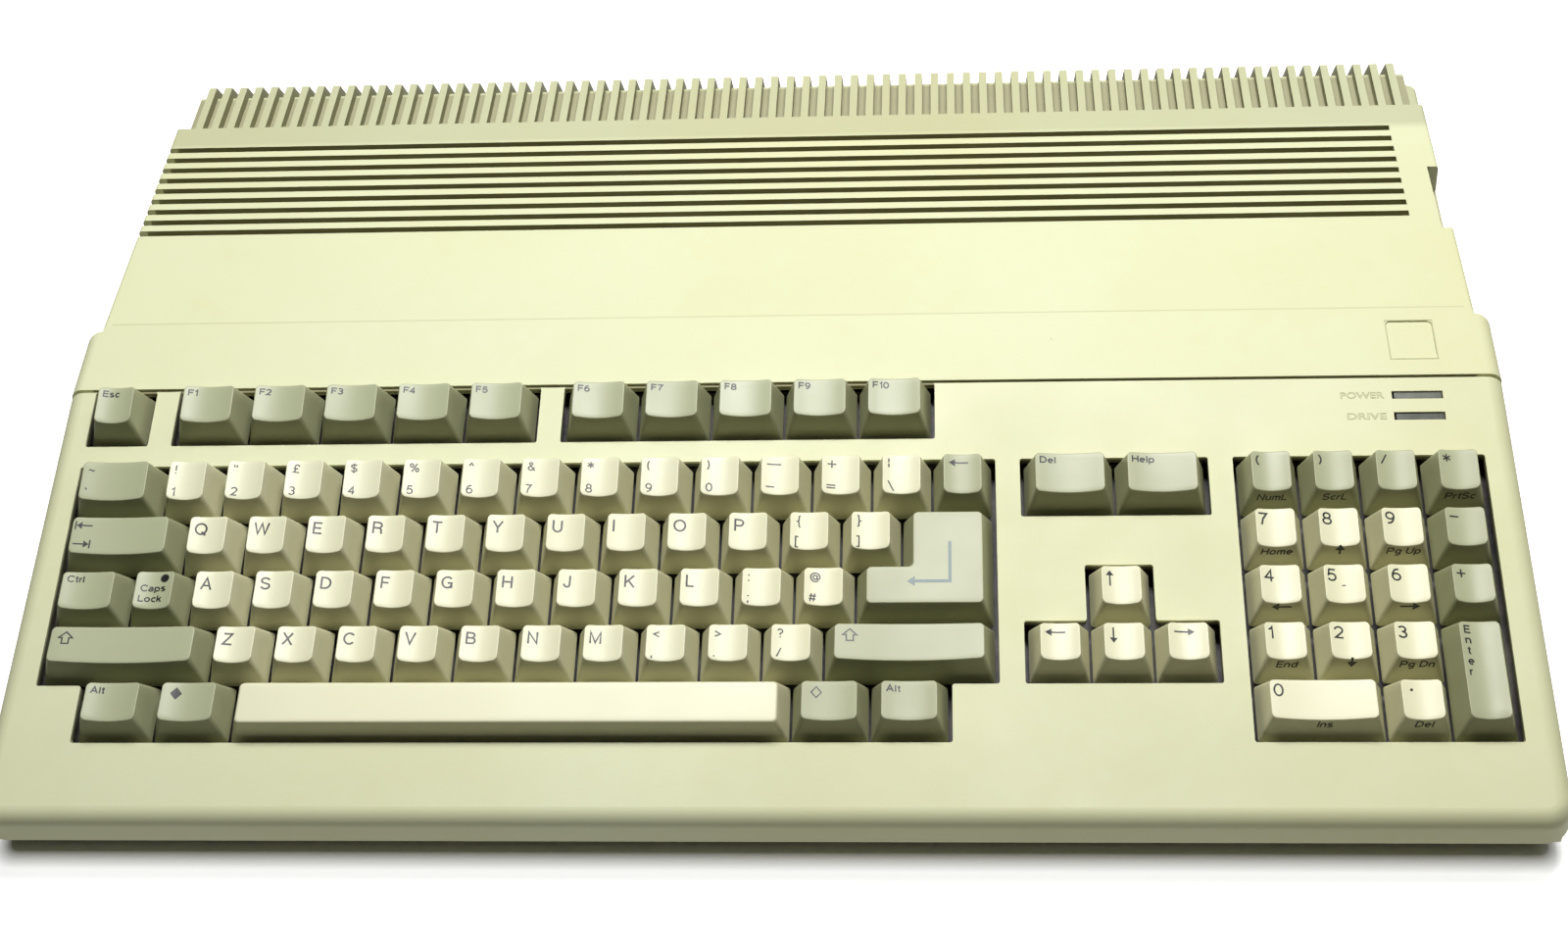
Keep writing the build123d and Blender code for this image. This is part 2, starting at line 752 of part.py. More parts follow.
def top_case():
    floor, ribs = rib_part()
    body = deck_part() + band_part() + raised_part() + shoulder_part() + floor
    body -= lid_cavity()
    bosses, holes = lid_bosses()
    body = body + ribs + bosses
    body += [deck.location * post for post in deck_hangers()]
    cuts = [crease_groove()] + vent_grooves() + drive_cuts() + holes
    cuts += [deck.location * cut for cut in well_cut(well_clearance, -2 * wall, wall)]
    cuts += [deck.location * cut for cut in window_cut(lens_clearance, -2 * wall, wall)]
    badge_y = crease_y + badge_run
    badge = Pos(half_width - badge_right_margin, badge_y, band_z(badge_y)) * Rot(band_slope, 0, 0)
    square = RectangleRounded(badge_width, badge_length, badge_radius)
    cuts.append(badge * extrude(square, amount=badge_depth, both=True))
    return body - cuts


# ---- lower shell ----

def lower_cuts():
    """Openings and recesses in the lower shell."""
    cuts = []
    wall_y = rear_y - side_inset - wall
    outside = rear_y + wall
    reach = dsub_height / 2 + socket_clearance
    for x, width in dsub_sockets.values():
        half = width / 2 + dsub_ear + socket_clearance
        cuts.append(block(x - half, x + half, wall_y, outside, socket_z - reach, socket_z + reach))
    for x in jack_x:
        half = jack_plate / 2 + socket_clearance
        cuts.append(block(x - half, x + half, wall_y, outside, socket_z - half, socket_z + half))
    half = power_size / 2 + socket_clearance
    cuts.append(block(power_x - half, power_x + half, wall_y, outside, power_bottom_z - socket_clearance,
                      power_bottom_z + power_size + socket_clearance))
    half = cover_length / 2 + cover_clearance
    low, high = cover_bottom_z - cover_clearance, cover_bottom_z + cover_height + cover_clearance
    cuts.append(block(-half_width - wall, -cavity_half + wall, cover_y - half, cover_y + half, low, high))
    y = trapdoor_y
    across = trapdoor_width / 2 + cover_clearance
    along = trapdoor_length / 2 + cover_clearance
    cuts.append(block(trapdoor_x - across, trapdoor_x + across, y - along, y + along, 0.0,
                      foot_height + trapdoor_thickness))
    across -= wall
    along -= wall
    cuts.append(block(trapdoor_x - across, trapdoor_x + across, y - along, y + along, 0.0,
                      foot_height + 2 * wall))
    for x, y in screw_places:
        head = upright(screw_head_radius + screw_clearance, 0.0, screw_seat_z, x, y)
        shank = upright(screw_radius + screw_clearance, 0.0, boss_split_z + wall, x, y)
        cuts += [head, shank]
    return cuts


def keyboard_underside_z(y):
    return key_front_z + (y - key_front_y) * deck_rise + keyboard_bottom / math.cos(math.radians(deck_slope))


def lower_posts():
    """Posts on the floor: case bosses, board posts with their screen pads, keyboard and drive rests."""
    floor = foot_height + wall / 2
    posts = Part()
    for x, y in screw_places:
        posts += upright(boss_radius, floor, boss_split_z, x, y)
    for x, y in board_posts:
        posts += upright(pad_radius, floor, lower_screen_z, x, y)
        posts += upright(board_post_radius, floor, board_z, x, y)
    for x, y in drive_posts:
        posts += upright(boss_radius, floor, drive_bottom_z, x, y)
    rest_y = front_y + rest_setback
    low, high = rest_y - 2 * boss_radius, rest_y + 2 * boss_radius
    rests = Part() + [upright(boss_radius, floor, board_z * 2, x, rest_y) for x in rest_x]
    rests &= side_prism([
        (low, 0.0),
        (high, 0.0),
        (high, keyboard_underside_z(high) - rest_gap),
        (low, keyboard_underside_z(low) - rest_gap),
    ], case_width)
    return posts + rests


def bottom_case():
    """Tray that stands on the feet, its rim on the inclined seam."""
    body = extrude(Pos(0, 0, foot_height) * case_outline(shell_step), amount=seam_rear_z)
    outside = wall
    body &= side_prism([
        (front_y + shell_step, seam_z(front_y + shell_step)),
        (front_y + front_undercut, foot_height),
        (rear_y - rear_undercut, foot_height),
        (rear_y + outside, foot_height + rear_undercut + outside),
        (rear_y + outside, seam_z(rear_y + outside)),
    ], case_width)
    low, high = foot_height, foot_height + bottom_bevel_height
    inner_foot = half_width - shell_step - bottom_bevel
    section = Polygon((-inner_foot, low), (inner_foot, low), (half_width, high), (half_width, case_top_z),
                      (-half_width, case_top_z), (-half_width, high), align=None)
    across = Plane(origin=(0, 0, 0), x_dir=(1, 0, 0), z_dir=(0, -1, 0))
    body &= extrude(across * section, amount=case_depth, both=True)
    floor = foot_height + wall
    inner_rear = rear_y - side_inset
    body -= side_prism([
        (front_y + shell_step + 2 * wall, seam_z(rear_y)),
        (front_y + shell_step + 2 * wall, seam_z(front_y)),
        (front_y + front_undercut + wall, floor),
        (inner_rear, floor),
        (inner_rear, seam_z(rear_y)),
    ], 2 * cavity_half)
    return (body + lower_posts()) - lower_cuts()


# ---- keyboard unit ----

def frame_plan(margin):
    """Outline of the keyboard unit: all columns up to row four, fewer columns behind."""
    width, depth = units(grid_units, 5)
    rear_width, rear_depth = units(14.5, function_row + 1)
    main = Pos(width / 2, depth / 2) * Rectangle(width + 2 * margin, depth + 2 * margin)
    rear = Pos(rear_width / 2, rear_depth / 2) * Rectangle(rear_width + 2 * margin, rear_depth + 2 * margin)
    return main + rear


def all_stems():
    """Centres of every stem in the keyboard."""
    places = []
    for name, cells in key_nodes.items():
        if name == "key_return":
            places += stem_places(*cells[-1])
        else:
            for cell in cells:
                places += stem_places(*cell)
    return places


def keyboard_frame():
    """Plate with a guide tube for each stem and a shallow skirt below."""
    plate = extrude(Pos(0, 0, frame_top - frame_thickness) * frame_plan(frame_margin), amount=frame_thickness)
    rim = frame_plan(frame_margin) - frame_plan(frame_margin - wall / 2)
    plate += extrude(Pos(0, 0, frame_top - frame_thickness - frame_skirt) * rim, amount=frame_skirt)
    tube_height = guide_top - frame_top
    tube = Cylinder(guide_diameter / 2, tube_height, align=standing)
    bore_height = tube_height + frame_thickness + 2 * wall
    bore = Cylinder(stem_diameter / 2 + stem_clearance, bore_height)
    plate += [Pos(x, y, frame_top) * tube for x, y in all_stems()]
    plate -= [Pos(x, y, (frame_top + guide_top) / 2) * bore for x, y in all_stems()]
    return deck.location * plate


def keyboard_sheet(top, thickness):
    """Flat sheet under the frame."""
    sheet = extrude(Pos(0, 0, top - thickness) * frame_plan(frame_margin), amount=thickness)
    return deck.location * sheet


def controller_board():
    """Small board under the keyboard unit, with its chip."""
    x, y = units(*controller_place)
    board = Pos(x, y, keyboard_bottom - controller_gap - board_thickness / 2)
    plate = board * Box(controller_length, controller_depth, board_thickness)
    chip_z = keyboard_bottom - controller_gap - board_thickness
    chip = Pos(x, y, chip_z) * Box(*chip_40, align=hanging)
    spacer_radius = board_post_radius
    spacers = []
    for side in (-1, 1):
        place = Pos(x + side * (controller_length / 2 - 2 * spacer_radius), y, keyboard_bottom)
        rod = Cylinder(spacer_radius, controller_gap, align=hanging)
        spacers.append(place * rod)
    return deck.location * group([plate, chip] + spacers)


def led_board():
    x, y = window_place(sum(window_rows) / 2)
    plate = Box(led_board_length, led_board_depth, board_thickness, align=hanging)
    pieces = [Pos(x, y, led_board_top) * plate]
    for height in window_rows:
        x, y = window_place(height)
        led = Box(window_height, window_height, led_height, align=standing)
        pieces.append(Pos(x, y, led_board_top) * led)
    return deck.location * group(pieces)


def led_lenses():
    return deck.location * group(window_cut(0.0, -lens_depth, 0.0))


def key_node(name, cells):
    """One key, or a bank of keys that share a joint."""
    if name == "key_return":
        caps = [keycap(cells)]
    else:
        caps = [keycap([cell]) for cell in cells]
    return deck.location * group(caps)


# ---- electronics ----

def board_outline(inset):
    """L-shaped board: the main part, and an arm behind the drive for the game sockets."""
    left, right = board_left_x + inset, board_right_x - inset
    near, far = board_front_y + inset, board_rear_y - inset
    arm_near, arm_right = rear_y - board_arm_margin + inset, board_arm_right_x - inset
    points = [(left, near), (right, near), (right, arm_near),
              (arm_right, arm_near), (arm_right, far), (left, far)]
    return Polygon(*points, align=None)


def board_holes(radius):
    return [upright(radius, 0.0, case_top_z, x, y) for x, y in board_posts]


def main_board():
    """Main circuit board with its edge connector on the left."""
    plate = extrude(Pos(0, 0, board_z) * board_outline(0), amount=board_thickness)
    plate += block(board_left_x - edge_tab_depth, board_left_x + wall, cover_y - edge_tab_length / 2,
                   cover_y + edge_tab_length / 2, board_z, board_z + board_thickness)
    return plate - board_holes(screw_radius + screw_clearance)


def main_board_chips():
    """Chips as plain bodies: one large, four custom, two long and a block of memory."""
    top = board_z + board_thickness
    chips = []
    for along, back, size in big_chips:
        x, y = on_board(along, back)
        chips.append(Pos(x, y, top) * Box(*size, align=standing))
    first_x, first_y = on_board(*memory_place)
    for column in range(memory_columns):
        for row in range(memory_rows):
            x = first_x + column * memory_pitch_x
            y = first_y + row * memory_pitch_y
            chips.append(Pos(x, y, top) * Box(*memory_chip, align=standing))
    return group(chips)


def upper_screen():
    """Folded metal lid over the board, open below, with rows of vent slots."""
    low = board_z + board_thickness
    left, right = board_left_x + screen_margin, board_right_x - screen_margin
    near, far = board_front_y + screen_margin, rear_y - screen_rear_margin
    t = screen_thickness
    body = block(left, right, near, far, low, upper_screen_z)
    body -= block(left + t, right - t, near + t, far - t, low - t, upper_screen_z - t)
    slots = []
    room = right - left - 2 * screen_slot_margin + screen_slot_width
    for i in range(int(room / screen_slot_pitch) + 1):
        x = left + screen_slot_margin + i * screen_slot_pitch
        slots.append(block(x, x + screen_slot_width, far - screen_slot_margin - screen_slot_length,
                           far - screen_slot_margin, upper_screen_z - 2 * t, upper_screen_z + t))
    return body - slots


def lower_screen():
    """Flat metal screen under the board, with clearance round the posts and over the trapdoor."""
    sheet = extrude(Pos(0, 0, lower_screen_z) * board_outline(screen_margin), amount=screen_thickness)
    y = trapdoor_y
    across, along = trapdoor_width / 2 - 2 * wall, trapdoor_length / 2 - 2 * wall
    sheet -= block(trapdoor_x - across, trapdoor_x + across, y - along, y + along, 0.0, board_z)
    return sheet - board_holes(board_post_radius + socket_clearance)


def board_screws():
    """Screws that hold the board on its posts, heads on the board."""
    top = board_z + board_thickness
    screws = []
    for x, y in board_posts:
        head = upright(screw_head_radius, top, top + screw_head_height, x, y)
        screws.append(head + upright(screw_radius, board_z, top + wall / 2, x, y))
    return screws


def drive_chassis():
    """Metal box of the disk drive, with the bay that the disk slides into and spaces above and below it."""
    y = drive_y
    right = bezel_back_x
    left = right - drive_length
    half = drive_width / 2
    body = block(left, right, y - half, y + half, drive_bottom_z, drive_bottom_z + drive_height)
    bay_low, bay_high = disk_slot_z - disk_slot_height / 2, disk_slot_z + disk_slot_height / 2
    slot_half = disk_slot_width / 2
    cuts = [block(right - disk_depth, right + wall, y - slot_half, y + slot_half, bay_low, bay_high)]
    inner = half - drive_wall
    for low, high in ((drive_bottom_z + drive_wall, bay_low - drive_wall),
                      (bay_high + drive_wall, drive_bottom_z + drive_height - drive_wall)):
        cuts.append(block(left - wall, right - drive_wall, y - inner, y + inner, low, high))
    button_low, button_high = button_z - button_height / 2, button_z + button_height / 2
    button_y = y + button_offset
    reach = button_width / 2 + button_clearance
    deep = wall + button_travel
    cuts.append(block(right - deep, right + wall, button_y - reach, button_y + reach,
                      button_low - button_clearance, button_high + button_clearance))
    return body - cuts


def drive_bezel():
    """Front of the drive with the disk slot, a finger recess and the button's opening."""
    y = drive_y
    half = drive_width / 2
    front = bezel_back_x + bezel_thickness
    body = block(bezel_back_x, front, y - half, y + half, bezel_bottom_z, bezel_bottom_z + bezel_height)
    slot_half = disk_slot_width / 2
    slot = block(bezel_back_x - wall, front + wall, y - slot_half, y + slot_half,
                 disk_slot_z - disk_slot_height / 2, disk_slot_z + disk_slot_height / 2)
    notch = finger_notch_width / 2
    recess = block(front - bezel_thickness / 2, front + wall, notch_y - notch, notch_y + notch,
                   disk_slot_z - disk_slot_height, disk_slot_z + disk_slot_height)
    reach_y = button_width / 2 + button_clearance
    reach_z = button_height / 2 + button_clearance
    button_y = y + button_offset
    hole = block(bezel_back_x - wall, front + wall, button_y - reach_y, button_y + reach_y,
                 button_z - reach_z, button_z + reach_z)
    lamp_y = y - button_offset
    lamp = block(front - wall / 2, front + wall, lamp_y - lamp_width / 2, lamp_y + lamp_width / 2,
                 button_z - lamp_width / 4, button_z + lamp_width / 4)
    return body - [slot, recess, hole, lamp]


def eject_button():
    """Button that slides in to let the disk out."""
    y = drive_y + button_offset
    front = bezel_back_x + bezel_thickness + button_proud
    body = block(bezel_back_x - wall / 2, front, y - button_width / 2, y + button_width / 2,
                 button_z - button_height / 2, button_z + button_height / 2)
    face = body.faces().sort_by(Axis.X)[-1]
    return fillet(face.edges(), button_clearance * 2)


# ---- sockets ----

def dsub_socket(x, width, hollow):
    """One socket of the D family: body on the board, flange, and shell towards the rear."""
    low = board_z + board_thickness
    high = socket_z + dsub_height / 2
    flange_back = socket_end_y - dsub_proud - dsub_flange
    half = width / 2 + dsub_ear
    body = block(x - width / 2, x + width / 2, flange_back - dsub_body_depth, flange_back, low, high)
    body += block(x - half, x + half, flange_back, flange_back + dsub_flange, socket_z - dsub_height / 2, high)
    rear_plane = Plane(origin=(x, flange_back, socket_z), x_dir=(-1, 0, 0), z_dir=(0, 1, 0))
    top, bottom = width / 2, width / 2 - dsub_shell_height * dsub_taper
    side = dsub_shell_height / 2

    def outline(inset):
        points = [(-bottom + inset, -side + inset), (bottom - inset, -side + inset),
                  (top - inset, side - inset), (-top + inset, side - inset)]
        plan = Polygon(*points, align=None)
        return fillet(plan.vertices(), dsub_corner_radius - inset)

    body += extrude(rear_plane * outline(0.0), amount=dsub_flange + dsub_proud)
    if hollow:
        well = extrude(rear_plane * outline(dsub_skirt), amount=dsub_flange + dsub_proud + wall)
        keep = block(x - half, x + half, flange_back, socket_end_y - dsub_well, 0, case_top_z)
        body -= well - keep
    for sign in (-1, 1):
        place = Pos(x + sign * (width / 2 + dsub_ear / 2 + 0.3), flange_back + dsub_flange, socket_z)
        post = Cylinder(dsub_post_radius, dsub_post_length, align=standing)
        body += place * Rot(-90, 0, 0) * post
    return body


def dsub_sockets_node():
    return group([dsub_socket(x, w, name not in closed_sockets) for name, (x, w) in dsub_sockets.items()])


def jack(x):
    """Round phono jack: body on the board, square plate and a bored sleeve."""
    low = board_z + board_thickness
    half = jack_plate / 2
    plate_y = socket_end_y - jack_proud
    body = block(x - half, x + half, plate_y - dsub_body_depth, plate_y, low, socket_z + half)
    sleeve = Cylinder(jack_radius, jack_proud, align=standing)
    bore = Cylinder(jack_bore, jack_proud * 2, align=standing)
    body += Pos(x, plate_y, socket_z) * Rot(-90, 0, 0) * sleeve
    return body - Pos(x, plate_y, socket_z) * Rot(-90, 0, 0) * bore


def power_inlet():
    """Square inlet with a well for the supply's plug."""
    half = power_size / 2
    body = block(power_x - half, power_x + half, socket_end_y - power_well - dsub_body_depth, socket_end_y,
                 power_bottom_z, power_bottom_z + power_size)
    inner = half - power_wall
    middle = power_bottom_z + half
    return body - block(power_x - inner, power_x + inner, socket_end_y - power_well, socket_end_y + wall,
                        middle - inner, middle + inner)


# ---- covers, feet and screws ----

def expansion_cover():
    """Snap-in cover over the board's edge connector, in the left side."""
    y = cover_y
    half = cover_length / 2
    outer = -half_width + shell_step - cover_proud
    inner = -cavity_half - cover_seat
    low, high = cover_bottom_z, cover_bottom_z + cover_height
    body = block(outer, inner, y - half, y + half, low, high)
    body -= block(outer + wall, inner + wall, y - half + wall, y + half - wall, low + wall / 2, high - wall / 2)
    ridges = []
    for i in range(cover_ridges):
        ridge_y = y + (i - (cover_ridges - 1) / 2) * cover_ridge_pitch
        near, far = ridge_y - cover_proud / 2, ridge_y + cover_proud / 2
        ridges.append(block(outer - wall, outer + cover_proud / 2, near, far, low + wall, high - wall))
    return body - ridges


def trapdoor_cover():
    """Clip-in cover flush with the underside."""
    y = trapdoor_y
    across, along = trapdoor_width / 2, trapdoor_length / 2
    body = block(trapdoor_x - across, trapdoor_x + across, y - along, y + along, foot_height,
                 foot_height + trapdoor_thickness)
    reach = 2 * boss_radius
    pull = block(trapdoor_x - reach, trapdoor_x + reach, y - along + wall, y - along + 3 * wall,
                 0.0, foot_height + trapdoor_thickness / 2)
    return body - pull


def rubber_feet():
    feet = []
    for x, y in foot_places:
        foot = upright(foot_radius, 0.0, foot_height, x, y)
        rim = foot.faces().sort_by(Axis.Z)[0].edges()
        feet.append(fillet(rim, foot_edge_radius))
    return group(feet)


def case_screws():
    """Screws from below, their heads sunk in the lower shell."""
    screws = []
    for x, y in screw_places:
        head = upright(screw_head_radius, foot_height, screw_seat_z, x, y)
        screw = head + upright(screw_radius, screw_seat_z - wall / 2, screw_tip_z, x, y)
        cross = []
        for turn in (0, 90):
            bar = Box(screw_head_radius, screw_radius / 2, screw_head_height)
            cross.append(Pos(x, y, foot_height) * Rot(0, 0, turn) * bar)
        screws.append(screw - cross)
    return screws


nodes = {
    "top_case": top_case(),
    "bottom_case": bottom_case(),
    "keyboard_frame": keyboard_frame(),
    "contact_membrane": keyboard_sheet(membrane_top, membrane_thickness),
    "keyboard_back_plate": keyboard_sheet(membrane_top - membrane_thickness, back_plate_thickness),
    "keyboard_controller": controller_board(),
    "led_board": led_board(),
    "led_lenses": led_lenses(),
    "main_board": main_board(),
    "main_board_chips": main_board_chips(),
    "upper_screen": upper_screen(),
    "lower_screen": lower_screen(),
    "drive_chassis": drive_chassis(),
    "drive_bezel": drive_bezel(),
    "eject_button": eject_button(),
    "dsub_sockets": dsub_sockets_node(),
    "phono_jacks": group([jack(x) for x in jack_x]),
    "power_inlet": power_inlet(),
    "expansion_cover": expansion_cover(),
    "trapdoor_cover": trapdoor_cover(),
    "rubber_feet": rubber_feet(),
    "screws": group(case_screws() + board_screws()),
}
for name, shape in nodes.items():
    write(name, shape)
for name, cells in key_nodes.items():
    write(name, key_node(name, cells))
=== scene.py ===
import math
import bmesh
import bpy
from mathutils import Matrix, Vector


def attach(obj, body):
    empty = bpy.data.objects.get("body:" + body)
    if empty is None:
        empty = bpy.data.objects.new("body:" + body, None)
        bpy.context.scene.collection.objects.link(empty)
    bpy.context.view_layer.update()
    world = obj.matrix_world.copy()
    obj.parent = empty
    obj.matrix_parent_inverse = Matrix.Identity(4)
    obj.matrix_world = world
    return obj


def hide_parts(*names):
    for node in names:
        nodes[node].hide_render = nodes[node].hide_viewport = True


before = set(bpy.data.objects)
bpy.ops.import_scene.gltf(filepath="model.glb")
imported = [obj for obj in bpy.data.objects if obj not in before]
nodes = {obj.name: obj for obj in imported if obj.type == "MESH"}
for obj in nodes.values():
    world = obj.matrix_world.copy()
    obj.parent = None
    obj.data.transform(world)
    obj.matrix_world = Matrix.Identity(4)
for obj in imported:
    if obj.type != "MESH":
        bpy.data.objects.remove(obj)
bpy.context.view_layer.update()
mm = 0.001
print("frame loaded:", len(nodes), "nodes")

# Places on the sloping deck: x across, t up the slope, h out of it, all in mm from the key grid's front left
deckGrid = {"left": -223.8375, "front": -139.6, "height": 29.798, "slope": 13.5, "pitch": 19.05}
deckSin = math.sin(math.radians(deckGrid["slope"]))
deckCos = math.cos(math.radians(deckGrid["slope"]))


def onDeck(x, t, h):
    return Vector((deckGrid["left"] + x,
                   deckGrid["front"] + t * deckCos - h * deckSin,
                   deckGrid["height"] + t * deckSin + h * deckCos)) * mm


# Screen colour, 0 to 255, as the linear values that sockets take
def linear(rgb):
    return tuple(((v / 255 + 0.055) / 1.055) ** 2.4 if v > 10 else v / 255 / 12.92 for v in rgb) + (1.0,)


def addObject(name, data):
    made = bpy.data.objects.new(name, data)
    bpy.context.scene.collection.objects.link(made)
    return made


# Makes a bmesh a piece on a body; edges sharper than the angle given as smooth stay sharp
def addPiece(name, work, look, body, smooth=None, replaced=None):
    mesh = bpy.data.meshes.new(name)
    work.to_mesh(mesh)
    work.free()
    mesh.materials.clear()    # also sets every face back to the first material
    mesh.materials.append(looks[look])
    if smooth:
        mesh.polygons.foreach_set("use_smooth", [True] * len(mesh.polygons))
        mesh.set_sharp_from_angle(angle=math.radians(smooth))
    piece = addObject(name, mesh)
    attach(piece, body)
    if replaced:
        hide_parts(replaced)


# Adds the faces between two rings of vertices
def bridge(mesh, lower, upper):
    for i in range(len(lower)):
        k = (i + 1) % len(lower)
        mesh.faces.new((lower[i], lower[k], upper[k], upper[i]))


# An object's evaluated result as a plain mesh; the object goes
def evaluatedMesh(holder):
    bpy.context.view_layer.update()
    made = bpy.data.meshes.new_from_object(holder.evaluated_get(bpy.context.evaluated_depsgraph_get()))
    bpy.data.objects.remove(holder)
    return made


# Adds a mesh to a bmesh; the mesh goes
def absorb(work, mesh):
    work.from_mesh(mesh)
    bpy.data.meshes.remove(mesh)


def circle(x, y, radius, count):
    turns = [math.tau * k / count for k in range(count)]
    return [(x + math.cos(a) * radius, y + math.sin(a) * radius) for a in turns]


# Materials
# Short hand for adding nodes and links to one node tree
class NodeTree:
    def __init__(self, tree):
        self.tree = tree

    def link(self, output, socket):
        self.tree.links.new(output, socket)

    def add(self, kind, values=None, **settings):
        made = self.tree.nodes.new(kind)
        for key, value in settings.items():
            setattr(made, key, value)
        for key, value in (values or {}).items():
            if isinstance(value, bpy.types.NodeSocket):
                self.link(value, made.inputs[key])
            else:
                made.inputs[key].default_value = value
        return made

    def group(self, tree, values):
        return self.add("ShaderNodeGroup", values, node_tree=tree).outputs

    def noise(self, place, scale, detail=2.0, rough=0.5):
        values = {"Vector": place, "Scale": scale, "Detail": detail, "Roughness": rough}
        return self.add("ShaderNodeTexNoise", values).outputs["Fac"]

    def cells(self, place, scale, randomness=1.0, **settings):
        values = {"Vector": place, "Scale": scale, "Randomness": randomness}
        return self.add("ShaderNodeTexVoronoi", values, **settings).outputs

    def remap(self, value, low, high, to=(0.0, 1.0)):
        values = {"Value": value, "From Min": low, "From Max": high, "To Min": to[0], "To Max": to[1]}
        return self.add("ShaderNodeMapRange", values).outputs["Result"]

    def math(self, how, *values):
        return self.add("ShaderNodeMath", dict(enumerate(values)), operation=how).outputs[0]

    def times(self, first, *others):
        for other in others:
            first = self.math("MULTIPLY", first, other)
        return first

    def vector(self, how, *values):
        return self.add("ShaderNodeVectorMath", dict(enumerate(values)), operation=how).outputs

    def axes(self, vector):
        return self.add("ShaderNodeSeparateXYZ", {"Vector": vector}).outputs

    def normal(self):
        return self.add("ShaderNodeNewGeometry").outputs["Normal"]

    def blend(self, share, a, b, how="MIX"):
        made = self.add("ShaderNodeMix", {0: share, 6: a, 7: b}, data_type="RGBA", blend_type=how)
        return made.outputs[2]


# New node group. An input's kind follows from its value; without a value it is what its label says.
def newGroup(name, inputs, outputs, kind="ShaderNodeTree"):
    tree = bpy.data.node_groups.new(name, kind)
    kinds = {float: "Float", int: "Int", bool: "Bool", tuple: "Color"}
    for label, value in inputs.items():
        socket = "NodeSocket" + (label if value is None else kinds[type(value)])
        made = tree.interface.new_socket(label, in_out="INPUT", socket_type=socket)
        if value is not None:
            made.default_value = value
    for label, socket in outputs.items():
        tree.interface.new_socket(label, in_out="OUTPUT", socket_type="NodeSocket" + socket)
    work = NodeTree(tree)
    return work, work.add("NodeGroupInput").outputs, work.add("NodeGroupOutput").inputs


# Spark-eroded grain of moulded plastic: a height, and a small change of roughness
grainValues = {"fineShare": 0.6, "cellShare": 0.4, "patchScale": 22.0, "patchSpan": (0.3, 0.7),
               "patchRoughness": (-0.08, 0.06)}


def makeGrain(values):
    work, given, out = newGroup("mouldedGrain", {"Vector": None, "Size": 900.0, "Roughness": 0.5},
                                {"Height": "Float", "Roughness": "Float"})
    fine = work.noise(given["Vector"], given["Size"], 3.0, 0.6)
    cells = work.cells(given["Vector"], given["Size"], feature="SMOOTH_F1")["Distance"]
    fine, cells = work.times(fine, values["fineShare"]), work.times(cells, values["cellShare"])
    work.link(work.math("ADD", fine, cells), out["Height"])
    patch = work.noise(given["Vector"], values["patchScale"], 3.0)
    patch = work.remap(patch, *values["patchSpan"], values["patchRoughness"])
    work.link(work.math("ADD", given["Roughness"], patch), out["Roughness"])
    return work.tree


# Uneven yellowing in broad patches, with a faint mottle and scattered dark specks
ageingValues = {"patchScale": 7.0, "patchSpan": (0.38, 0.72), "mottleScale": 160.0, "mottleSpan": (0.3, 0.75),
                "mottleMost": 0.35, "speckScale": 75.0, "speckSize": (0.028, 0.04), "cellsWithout": 0.86,
                "speckTone": (0.16, 0.13, 0.06, 1.0)}


def makeAgeing(values):
    inputs = {"Vector": None, "Fresh": (0.8, 0.8, 0.6, 1.0), "Aged": (0.7, 0.6, 0.35, 1.0), "Amount": 0.3,
              "Specks": 0.3}
    work, given, out = newGroup("sunAgeing", inputs, {"Color": "Color"})
    broad = work.remap(work.noise(given["Vector"], values["patchScale"], 3.0, 0.55), *values["patchSpan"])
    mottle = work.noise(given["Vector"], values["mottleScale"], 4.0, 0.6)
    mottle = work.remap(mottle, *values["mottleSpan"], (0.0, values["mottleMost"]))
    share = work.times(work.math("ADD", broad, mottle), given["Amount"])
    colour = work.blend(share, given["Fresh"], given["Aged"])
    spots = work.cells(given["Vector"], values["speckScale"])
    dot = work.remap(spots["Distance"], *values["speckSize"], (1.0, 0.0))
    cell = work.add("ShaderNodeSeparateColor", {"Color": spots["Color"]}).outputs[0]
    chosen = work.math("GREATER_THAN", cell, values["cellsWithout"])
    mark = work.times(dot, chosen, given["Specks"])
    work.link(work.blend(mark, colour, values["speckTone"]), out["Color"])
    return work.tree


# Dust that settles on faces that look up, thicker in soft patches
dustValues = {"facing": (0.4, 0.95), "patchScale": 40.0, "patchSpan": (0.35, 0.75)}


def makeDust(values):
    inputs = {"Color": (0.5, 0.5, 0.5, 1.0), "Dust": (0.55, 0.52, 0.43, 1.0), "Vector": None, "Amount": 0.2}
    work, given, out = newGroup("settledDust", inputs, {"Color": "Color"})
    facing = work.remap(work.axes(work.normal())["Z"], *values["facing"])
    patch = work.remap(work.noise(given["Vector"], values["patchScale"], 4.0, 0.65), *values["patchSpan"])
    share = work.times(facing, patch, given["Amount"])
    work.link(work.blend(share, given["Color"], given["Dust"]), out["Color"])
    return work.tree


